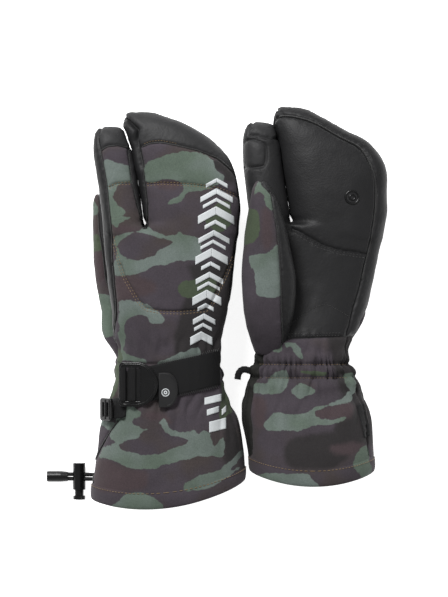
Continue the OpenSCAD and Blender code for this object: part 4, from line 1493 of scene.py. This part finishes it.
def build_stitching(mitten, tree):
    """Tan stitches on the camouflage and black ones on the leather."""
    tan = Threads(mitten, "tan_stitching", TAN_THREAD, "camo_fabric")
    black = Threads(mitten, "black_stitching", BLACK_THREAD, "black_leather")
    zone = hand_zone(mitten)
    for offset in (1.3, 3.4):
        tan.stitches(tree, shift_line(line_on(KNUCKLE_Y, -50, -31), -offset + 2), BACK, "index")
        tan.stitches(tree, shift_line(line_on(KNUCKLE_Y, -18, 57, 20), -offset + 2), BACK, "mitt")
        tan.stitches(tree, shift_line(line_on(YOKE_Y, -46, 54, 40), offset - 3.2), BACK, zone)
    tan.stitches(tree, shift_line(line_on(MITT_CAP_Y, -20, 8), 1.6), BACK, "mitt", 1.6, 0.9, 0.22)
    for offset in (1.6, 3.6):
        black.stitches(tree, shift_line(line_on(PALM_SPLIT_Y, -22, 44, 20), -offset), PALM, "mitt")
        wrist_seam = [(-16, PALM_EDGE_Y - 1.6 + offset), (33, PALM_EDGE_Y + 3.3 + offset)]
        black.stitches(tree, wrist_seam, PALM, "wrist")
    black.stitches(tree, HEEL_STITCHES, PALM, "wrist", 1.6, 1.0, 0.26)
    black.stitches(tree, PATCH_STITCHES, PALM, "index", 1.4, 0.8, 0.24)
    for y in ELASTIC_ROWS:
        tan.stitches(tree, [(-38, y), (36, y)], PALM, "cuff", 1.8, 1.0, 0.24, hand=False)
    tan.build()
    black.build()


def build_piping(mitten, tree, thumb_tree):
    """Black piping along the leather's edges."""
    piping = Threads(mitten, "piping", PIPING, "black_leather")
    piping.pipe(tree, PALM_LOOP[PIPED_PALM], PALM, "mitt")
    for curve, y0, y1, side, radius in (
            (THUMB_SEAM_X, 12, 136, PALM, 0.7), (THUMB_BACK_X, 20, 128, BACK, 0.6)):
        line = np.array([(x, y, 0) for x, y in line_up(curve, y0, y1, 24)])
        piping.pipe(thumb_tree, mitten.from_thumb(line)[:, :2], side, "thumb", radius, False)
    piping.pipe(tree, line_on(MITT_CAP_Y, -22, 53, 24), BACK, "mitt", 0.75)
    piping.pipe(tree, line_on(INDEX_CAP_Y, -56, -35, 12), BACK, "index", 0.7)
    for curve, y0, y1, count, where, radius in (
            (STRIP_X, 82, 188, 24, "index", 0.6), (STRIP_X, 16, 80, 16, "wrist", 0.6),
            (INDEX_INNER_X, 114, 174, 16, "index", 0.5), (MITT_INNER_X, 114, 176, 16, "mitt", 0.5)):
        piping.pipe(tree, line_up(curve, y0, y1, count), BACK, where, radius)
    if mitten is RIGHT:
        piping.pipe(tree, CUFF_PIPING, BACK, "cuff", 0.8, hand=False)
    piping.build()


def chevron(width, arm, y):
    """Two slanted bars that meet in a point, as plan outlines of (x, y) corners."""
    half = width / 2
    rise = 0.55 * half
    return [
        [(-half, y - rise), (0, y), (0, y + arm), (-half, y - rise + arm)],
        [(0, y), (half, y - rise), (half, y - rise + arm), (0, y + arm)],
    ]


# Millimetres between a print's points, above the skin and below it, and the skin's least upward normal.
PRINT_STEP = 0.8
PRINT_LIFT = 0.5
PRINT_DEPTH = 0.3
PRINT_STEEPEST = 0.12


def print_patch(mitten, tree, corners, hand):
    """A thin print that follows the skin inside a four-cornered plan outline."""
    a, b, c, d = [np.array(p, float) for p in corners]
    nu = max(5, int(np.linalg.norm(b - a) / PRINT_STEP))
    nv = max(4, int(np.linalg.norm(d - a) / PRINT_STEP))
    path = np.array([(a * (1 - s) + b * s) * (1 - t) + (d * (1 - s) + c * s) * t
                     for t in np.linspace(0, 1, nv) for s in np.linspace(0, 1, nu)])
    flat = np.column_stack([path, np.zeros(len(path))])
    flat = mitten.from_hand(flat) if hand else flat
    top, low = [], []
    for x, y, _ in flat:
        co, n = shoot(tree, x, y, 1)
        if co is None or n.z < PRINT_STEEPEST:
            return None
        top.append(np.array(co) + np.array(n) * PRINT_LIFT)
        low.append(np.array(co) - np.array(n) * PRINT_DEPTH)
    return np.array(top + low), sheet_faces(nv, nu)


# A plain column of chevrons and bars up the outer side of the back: x and half width at a given y.
PRINT_COLUMN_X = curve_of([(8, 27), (30, 30), (45, 32), (60, 34), (80, 36), (110, 39.5), (140, 40.5),
                           (155, 38)])
PRINT_HALF_WIDTH = curve_of([(8, 9), (30, 10.5), (45, 12), (80, 13.5), (110, 15), (155, 15)])
# Chevrons in turn: width in half widths of the column, arm and gap. The cuff's bars: y0, y1, x0, x1.
CHEVRONS = ((2.0, 6.8, 4.0), (1.5, 3.0, 3.4), (1.8, 4.6, 5.2), (1.2, 3.4, 4.4))
CUFF_BARS = ((-37, -31, 30, 44), (-46, -41, 32, 42), (-46, -41, 44.5, 48), (-60, -51, 34, 48))


def build_print(mitten, tree):
    graphic = Threads(mitten, "white_print", PRINT, "camo_fabric")
    zone = hand_zone(mitten)
    y, k = 10.0, 0
    while y < 146:
        x = float(PRINT_COLUMN_X(y))
        share, arm, gap = CHEVRONS[k % len(CHEVRONS)]
        width = share * float(PRINT_HALF_WIDTH(y))
        for corners in chevron(width, arm, y + 8):
            moved = [(px + x, py) for px, py in corners]
            part = print_patch(mitten, tree, moved, True)
            if part:
                centre = np.mean(moved, axis=0)
                graphic.add(zone(np.array([*centre, 0.0])), part)
        y += arm + gap
        k += 1
    for y0, y1, x0, x1 in CUFF_BARS:
        part = print_patch(mitten, tree, [(x0, y0), (x1, y0 + 3), (x1, y1 + 3), (x0, y1)], False)
        if part:
            graphic.add("cuff", part)
    graphic.build()


def build_hem_stitching(mitten):
    """One line of tan stitches round the top of the hem."""
    thread = Threads(mitten, "hem_stitching", TAN_THREAD, "camo_trim")
    count, pitch, per = 900, 8, 6
    angles = np.linspace(0, 2 * math.pi, count, endpoint=False)
    y = np.full(count, mitten.hem_y + HEM_HEIGHT - 1.6)
    line = mitten.cuff.points(y, angles, 1.4)
    normals = np.zeros_like(line)
    normals[:, [0, 2]] = line[:, [0, 2]] - mitten.cuff.at(y)[:, [0, 2]]
    normals /= np.linalg.norm(normals, axis=1)[:, None]
    line[:, [0, 2]] += normals[:, [0, 2]] * (0.5 * lumps(line, 26.0, 8 + mitten.seed))[:, None]
    swell = np.array([0.15, 0.3, 0.3, 0.3, 0.3, 0.15])
    for start in range(0, count - per + 1, pitch):
        chosen = slice(start, start + per)
        thread.add("cuff", tube_part(line[chosen], swell, 5, 1.0, normals[chosen]))
    thread.build()


# ---------------------------------------------------------------- strap, buckle, tab and loops

def curve_plate(name, outlines, half_thickness, bevel):
    """A flat plate with holes and rounded edges, as mesh arrays in its own plane."""
    curve = bpy.data.curves.new(name, "CURVE")
    curve.dimensions = "2D"
    curve.fill_mode = "BOTH"
    curve.extrude = half_thickness - bevel
    curve.bevel_depth = bevel
    curve.bevel_resolution = 3
    for points in outlines:
        spline = curve.splines.new("POLY")
        spline.points.add(len(points) - 1)
        for target, (x, y) in zip(spline.points, points):
            target.co = (x, y, 0, 1)
        spline.use_cyclic_u = True
    obj = new_object(name, curve)
    depsgraph = bpy.context.evaluated_depsgraph_get()
    mesh = bpy.data.meshes.new_from_object(obj.evaluated_get(depsgraph))
    verts, faces = mesh_arrays(mesh)
    bpy.data.objects.remove(obj)
    bpy.data.curves.remove(curve)
    bpy.data.meshes.remove(mesh)
    return verts, faces


def rounded_box(cx, cy, w, h, r, count=5):
    out = []
    for sx, sy, a0 in ((1, 1, 0), (-1, 1, 90), (-1, -1, 180), (1, -1, 270)):
        for k in range(count + 1):
            a = math.radians(a0 + 90 * k / count)
            out.append((cx + sx * (w / 2 - r) + r * math.cos(a), cy + sy * (h / 2 - r) + r * math.sin(a)))
    return out


def half_round(cx, rx, ry, count):
    """The right half of an oval about (cx, 0)."""
    return [(cx + rx * math.cos(a), ry * math.sin(a)) for a in np.linspace(-math.pi / 2, math.pi / 2, count)]


def d_outline(length, width, corner=3.0):
    """The buckle's outline: square on the thumb side, a half round on the other."""
    r = width / 2
    out = half_round(length / 2 - r, r, r, 28)
    x = -length / 2
    for sy, a0 in ((1, 90), (-1, 180)):
        for k in range(7):
            a = math.radians(a0 + 15 * k)
            out.append((x + corner + corner * math.cos(a), sy * (r - corner) + corner * math.sin(a)))
    return out


def placed(verts, at, tilt):
    """A plate's points tilted about y and moved to its place."""
    c, s = math.cos(math.radians(tilt)), math.sin(math.radians(tilt))
    x, y, z = verts[:, 0], verts[:, 1], verts[:, 2]
    return np.stack([at[0] + x * c + z * s, at[1] + y, at[2] - x * s + z * c], -1)


BUCKLE_AT = (-25.0, -19.5, 22.3)
BUCKLE_TILT = -10.0
BUCKLE_SIZE = (32.0, 36.0)


def webbing_wrap(x, width, height, thickness):
    """Webbing wrapped round a buckle bar: a rounded sleeve with ribs along it."""
    count, rows = 40, 24
    verts = []
    for y in np.linspace(-height / 2, height / 2, rows):
        pinch = 1 - 0.06 * (abs(2 * y / height) ** 6)
        for k in range(count):
            a = 2 * math.pi * k / count
            rib = 1 + 0.05 * math.cos(8 * a)
            verts.append((x + width / 2 * rib * pinch * float(signed_pow(np.cos(a), 0.7)), y,
                          thickness / 2 * rib * float(signed_pow(np.sin(a), 0.7))))
    return np.array(verts), tube_faces(rows, count)


def build_buckle(mitten):
    length, width = BUCKLE_SIZE
    inner = [rounded_box(-9.6, 0, 4.4, width - 7, 1.2), rounded_box(-0.6, 0, 6.4, width - 7, 1.4)]
    verts, faces = curve_plate("buckle", [d_outline(length, width)] + inner, 1.4, 0.6)
    inset = d_outline(length - 2.6, width - 2.6)
    rim_line = np.array(inset + inset[:1])
    rim = tube_part(np.column_stack([rim_line, np.full(len(rim_line), 1.3)]), 0.75, 8)
    verts, faces = joined([(verts, faces), rim])
    verts = placed(verts, BUCKLE_AT, BUCKLE_TILT)
    obj = piece(mitten, "buckle_frame", verts, faces, PLASTIC)
    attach(obj, mitten.body("buckle_body"))
    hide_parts(mitten.name + "_buckle")
    wraps = joined([webbing_wrap(-13.2, 5.6, width - 8, 5.2), webbing_wrap(-5.3, 7.2, width - 8, 5.2)])
    wraps_placed = placed(wraps[0], BUCKLE_AT, BUCKLE_TILT)
    webbing = piece(mitten, "buckle_webbing", wraps_placed, wraps[1], WEBBING)
    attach(webbing, mitten.body("buckle_body"))


TAB_AT = (-7.6, -24.3, 23.4)
TAB_SIZE = (15.0, 28.0)
TAB_MARK_AT = (5.2, -2.0)


def build_tab(mitten):
    """The rounded pull tab with a plain ring moulded on it."""
    length, width = TAB_SIZE
    r = width / 2
    outline = half_round(length - r * 0.62, r * 0.62, r, 26) + [(0.0, r), (0.0, -r)]
    verts, faces = curve_plate("tab", [outline], 0.95, 0.45)
    edge = np.array([(x * 0.93 + 0.2, y * 0.92) for x, y in outline[:26]])
    rim = tube_part(np.column_stack([edge, np.full(26, 0.8)]), 0.45, 8)
    verts, faces = joined([(verts, faces), rim])
    obj = piece(mitten, "tab_plate", placed(verts, TAB_AT, 0), faces, TAB_RUBBER)
    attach(obj, mitten.body("tab_body"))
    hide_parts(mitten.name + "_pull_tab")
    turn = np.linspace(0, 2 * math.pi, 33)
    rings = []
    for r, wire in ((3.0, 0.45), (1.1, 0.6)):
        x, y = TAB_MARK_AT[0] + r * np.cos(turn), TAB_MARK_AT[1] + r * np.sin(turn)
        line = np.column_stack([x, y, np.full(len(turn), 0.85)])
        rings.append(tube_part(line, wire, 8))
    verts, faces = joined(rings)
    mark = piece(mitten, "tab_mark", placed(verts, TAB_AT, 0), faces, PRINT)
    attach(mark, mitten.body("tab_body"))


STRAP_MID_Y = -15.5
STRAP_RISE = 0.22
STRAP_WIDTH = 29.5
STRAP_START_X = -39
STRAP_END_X = {"right": 43.2, "left": 36.0}


def strap_height(tree, xs):
    """The strap's height at each x: a taut line over the skin under its whole width."""
    heights = []
    for x in xs:
        best = -99.0
        for s in np.linspace(-0.45, 0.45, 7):
            co, _ = shoot(tree, x, STRAP_MID_Y + STRAP_RISE * x + s * STRAP_WIDTH, 1)
            if co is not None:
                best = max(best, co.z)
        heights.append(best)
    heights = np.array(heights)
    for _ in range(30):
        heights[1:-1] = np.maximum(heights[1:-1], 0.5 * (heights[:-2] + heights[2:]))
    return heights


def build_strap(mitten, tree):
    reach = STRAP_END_X[mitten.name]
    xs = np.linspace(STRAP_START_X, reach, 64)
    heights = strap_height(tree, np.clip(xs, -37, reach - 2.7))
    drop = np.clip(xs - reach + 7, 0, 20)
    heights = heights + 0.7 - 0.16 * drop**1.6
    rows = 15
    top, low = [], []
    for x, z in zip(xs, heights):
        for s in np.linspace(-0.5, 0.5, rows):
            y = STRAP_MID_Y + STRAP_RISE * x + s * STRAP_WIDTH
            crown = 0.3 * (1 - (2 * s) ** 2)
            top.append((x, y, z + 1.5 + crown))
            low.append((x, y, z - 0.2))
    strap = piece(mitten, "strap_webbing", top + low, sheet_faces(len(xs), rows), WEBBING)
    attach(strap, mitten.body("gauntlet"))
    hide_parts(mitten.name + "_strap")
    zigzag = Threads(mitten, "strap_zigzag", BLACK_THREAD, "webbing")
    for edge in (-0.5, 0.5):
        line = []
        for k, x in enumerate(np.arange(-6, reach - 0.7, 0.9)):
            z = float(np.interp(x, xs, heights))
            outward, lift = ((-0.6, 1.65), (1.6, 0.7))[k % 2]
            y = STRAP_MID_Y + STRAP_RISE * x + (STRAP_WIDTH * edge + outward * np.sign(edge))
            line.append((x, y, z + lift))
        zigzag.add("cuff", tube_part(np.array(line), 0.36, 5))
    zigzag.build()


# The folded end's size and middle height, and its route in plan.
TAIL_HALF_THICKNESS = 2.7
TAIL_HALF_WIDTH = 6
TAIL_HEIGHT = -8
TAIL_ROUTE = [(-40.5, -14), (-45.5, -11.8), (-50, -10.4), (-53.5, -11.2), (-55.8, -14.2), (-56.8, -19.5)]


def build_tail(mitten):
    """The strap's free end, which comes out of the side seam and curls over."""
    path = plan_path(TAIL_ROUTE, 0.7)
    side = shifted(path, 1.0) - path
    across = np.linspace(-1, 1, 9)
    rings = []
    for k, ((x, y), (nx, ny)) in enumerate(zip(path, side)):
        thick = TAIL_HALF_THICKNESS + 0.15 * math.sin(k * 1.9)
        outline = [(thick, TAIL_HALF_WIDTH * c) for c in across]
        outline += [(-thick, TAIL_HALF_WIDTH * c) for c in reversed(across)]
        rings += [(x + nx * a, y + ny * a, TAIL_HEIGHT + b) for a, b in outline]
    faces = turned_over(tube_faces(len(path), 2 * len(across)))
    tail = piece(mitten, "strap_tail", rings, faces, WEBBING)
    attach(tail, mitten.body("gauntlet"))


def keeper_tail(mitten):
    """The short webbing that holds the keeper, sewn down beside the buckle."""
    rows, cols = 14, 16
    top, low = [], []
    for t in np.linspace(0, 1, rows):
        for c in np.linspace(-1, 1, cols):
            angle = math.radians(155 - 31 * t)
            for grow, target in ((2.6 + 0.3 * (1 - c * c), top), (0.6, low)):
                target.append(mitten.cuff.points(np.array(-40.5 + 3.5 * t + 8.2 * c), np.array(angle), grow))
    faces = turned_over(sheet_faces(rows, cols))
    tail = piece(mitten, "keeper_tail", top + low, faces, WEBBING)
    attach(tail, mitten.body("gauntlet"))


KEEPER_AT = (-51.5, -41, 10)
KEEPER_TILT = -52
KEEPER_LIFT = 1.2


def build_keeper(mitten):
    """The webbing loop with two bars at the thumb side of the cuff."""
    holes = [rounded_box(-3.0, 0, 3.0, 13, 0.8), rounded_box(3.0, 0, 3.0, 13, 0.8)]
    verts, faces = curve_plate("keeper", [rounded_box(0, 0, 15, 18, 2.0)] + holes, 1.2, 0.5)
    wraps = joined([webbing_wrap(0.0, 3.0, 16.4, 3.4), webbing_wrap(5.8, 2.8, 16.4, 3.2)])

    def place(v):
        return placed(v + (0, 0, KEEPER_LIFT), KEEPER_AT, KEEPER_TILT)

    frame_piece = piece(mitten, "keeper_frame", place(verts), faces, PLASTIC)
    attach(frame_piece, mitten.body("gauntlet"))
    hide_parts(mitten.name + "_keeper_loop")
    webbing = piece(mitten, "keeper_webbing", place(wraps[0]), wraps[1], WEBBING)
    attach(webbing, mitten.body("gauntlet"))


LABEL_AT = (43.5, -40)
LABEL_SIZE = (5.4, 27)
LABEL_THICKNESS = 0.7


def build_label(mitten, tree):
    """A blank folded woven label sewn into the side seam."""
    rows, cols = 24, 6
    top, low = [], []
    for t in np.linspace(0, 1, rows):
        for s in np.linspace(0, 1, cols):
            x = LABEL_AT[0] + 11.0 * t * 0.55 + LABEL_SIZE[0] * s
            y = LABEL_AT[1] - LABEL_SIZE[1] * t + 1.4 * s
            co, n = shoot(tree, x, y, -1)
            lift = 0.5 + 1.2 * s * s
            top.append(np.array(co) + np.array(n) * (lift + LABEL_THICKNESS / 2))
            low.append(np.array(co) + np.array(n) * (lift - LABEL_THICKNESS / 2))
    faces = turned_over(sheet_faces(rows, cols))
    label = piece(mitten, "woven_label", top + low, faces, LABEL)
    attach(label, mitten.body("gauntlet"))
    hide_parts(mitten.name + "_side_label")


PALM_RING_AT = (29, 139)


def build_palm_ring(mitten, tree):
    """The plain round mark pressed into the palm."""
    ring = Threads(mitten, "palm_ring", PLASTIC, "black_leather")
    turn = np.linspace(0, 2 * math.pi, 49)
    for r, w in ((5.4, 0.9), (2.2, 0.8)):
        path = np.column_stack([PALM_RING_AT[0] + r * np.cos(turn), PALM_RING_AT[1] + r * np.sin(turn)])
        points, normals = on_skin(mitten, tree, path, -1, 0.15)
        ring.add("mitt", tube_part(points, w, 8, 0.8, normals))
    ring.build()


# ---------------------------------------------------------------- drawcord

# Route of the drawcord's middle line: x in the right cuff's plan, height over the table.
CORD_ROUTE = [(-54, 14.4), (-60, 12.7), (-66, 11), (-72, 9.2), (-78, 7.5), (-84, 5.8), (-90, 5), (-97, 4.8)]
CORD_Y = -102.0
CORD_LANE = 3.8
CORD_DIAMETER = 0.0034


def world_cord(x, y, z):
    return (np.array([RIGHT.place[0] + x, RIGHT.place[1] + CORD_Y + y, z])) * MM


def build_spring():
    """The cord lock's spring, as a fixed coil; the real one shortens as the plunger goes in."""
    low, high = [np.array(v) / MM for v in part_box("cord_lock_spring")]
    wire = 0.36
    turns = 5
    radius = (high[0] - low[0]) / 2 - wire
    angle = np.linspace(0, 2 * math.pi * turns, 24 * turns)
    rise = np.linspace(low[1] + wire, high[1] - wire, len(angle))
    coil = np.column_stack([(low[0] + high[0]) / 2 + radius * np.cos(angle), rise,
                            (low[2] + high[2]) / 2 + radius * np.sin(angle)])
    verts, faces = tube_part(coil, wire, 8)
    spring = make_object("lock_spring", verts * MM, faces, STEEL, verts * MM)
    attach(spring, "lock_body")
    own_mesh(spring)
    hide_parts("cord_lock_spring")
    return spring


def build_cords():
    strands = []
    for number, lane in enumerate((-CORD_LANE / 2, CORD_LANE / 2)):
        curve = bpy.data.curves.new("strand", "CURVE")
        curve.dimensions = "3D"
        spline = curve.splines.new("POLY")
        points = [world_cord(x, lane, z) for x, z in CORD_ROUTE]
        spline.points.add(len(points) - 1)
        for target, p in zip(spline.points, points):
            target.co = (*p, 1)
        curve.bevel_depth = CORD_DIAMETER / 2
        curve.bevel_resolution = 4
        curve.use_fill_caps = True
        curve.materials.append(CORD_BRAID)
        obj = new_object(f"drawcord_strand_{number + 1}", curve)
        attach(obj, "right_gauntlet")
        length = sum(np.linalg.norm(b - a) for a, b in zip(points, points[1:]))
        strands.append((obj, points[0], float(length)))
    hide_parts("drawcord")
    barrel, plunger, end = [frame["nodes"][n] for n in ("cord_lock_barrel", "cord_lock_plunger", "cord_end")]
    for (obj, start, length), fittings in zip(strands, ((barrel, plunger, build_spring()), (end,))):
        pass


# ---------------------------------------------------------------- carried-over hard parts

def give_material(node, material):
    mesh = frame["nodes"][node].data
    mesh.materials.clear()
    mesh.materials.append(material)
    if "rest" not in mesh.attributes:
        store_rest(mesh, vectors(mesh.vertices, len(mesh.vertices), "co"))


# ---------------------------------------------------------------- stage

# The camera looks straight down. VIEW_HEIGHT is what it sees from top to bottom at MIDDLE_HEIGHT.
VIEW_HEIGHT = 0.5075
CAMERA_HEIGHT = 2.0
MIDDLE_HEIGHT = 0.045
SENSOR = 24.0
# Name, place in metres, size in metres and power in watts. All of them face the origin.
LAMPS = (("key", (-0.6, 1.25, 1.4), 0.6, 52.0), ("fill", (1.3, -0.5, 1.5), 1.4, 6.0),
         ("low", (0.0, -1.6, 0.8), 1.2, 3.0))


def build_stage():
    size = 3.0
    corners = [(-size, -size, 0), (size, -size, 0), (size, size, 0), (-size, size, 0)]
    mesh = new_mesh("floor", corners, [range(4)])
    mesh.materials.append(floor_material())
    floor = new_object("floor", mesh)
    floor.location = (0, 0, -0.0006)
    world = bpy.data.worlds.new("studio")
    world.use_nodes = True
    world.node_tree.nodes["Background"].inputs[0].default_value = (1, 1, 1, 1)
    world.node_tree.nodes["Background"].inputs[1].default_value = 0.42
    bpy.context.scene.world = world
    for name, at, size, power in LAMPS:
        light = bpy.data.lights.new(name, "AREA")
        light.size = size
        light.energy = power
        obj = new_object(name, light)
        obj.location = at
        obj.rotation_euler = (Vector((0, 0, 0)) - Vector(at)).to_track_quat("-Z", "Y").to_euler()


def build_camera():
    data = bpy.data.cameras.new("camera")
    data.sensor_fit = "VERTICAL"
    data.sensor_height = SENSOR
    data.lens = SENSOR * CAMERA_HEIGHT / VIEW_HEIGHT
    camera = new_object("camera", data)
    camera.location = (-0.013, 0.008, CAMERA_HEIGHT + MIDDLE_HEIGHT)
    bpy.context.scene.camera = camera
    bpy.context.scene.view_settings.view_transform = "Standard"


build_camera()
build_cords()
build_stage()
for side in MITTENS:
    skin_tree, thumb_tree = build_shells(side)
    build_hem(side)
    build_lining(side)
    build_stitching(side, skin_tree)
    build_piping(side, skin_tree, thumb_tree)
    build_hem_stitching(side)
    build_strap(side, skin_tree)
    build_buckle(side)
    build_tab(side)
    build_print(side, skin_tree)
    build_palm_ring(side, skin_tree)
    if side is RIGHT:
        build_keeper(side)
        keeper_tail(side)
    else:
        build_tail(side)
        build_label(side, skin_tree)
for node_name in ("cord_lock_barrel", "cord_lock_plunger", "cord_end"):
    give_material(node_name, PLASTIC)
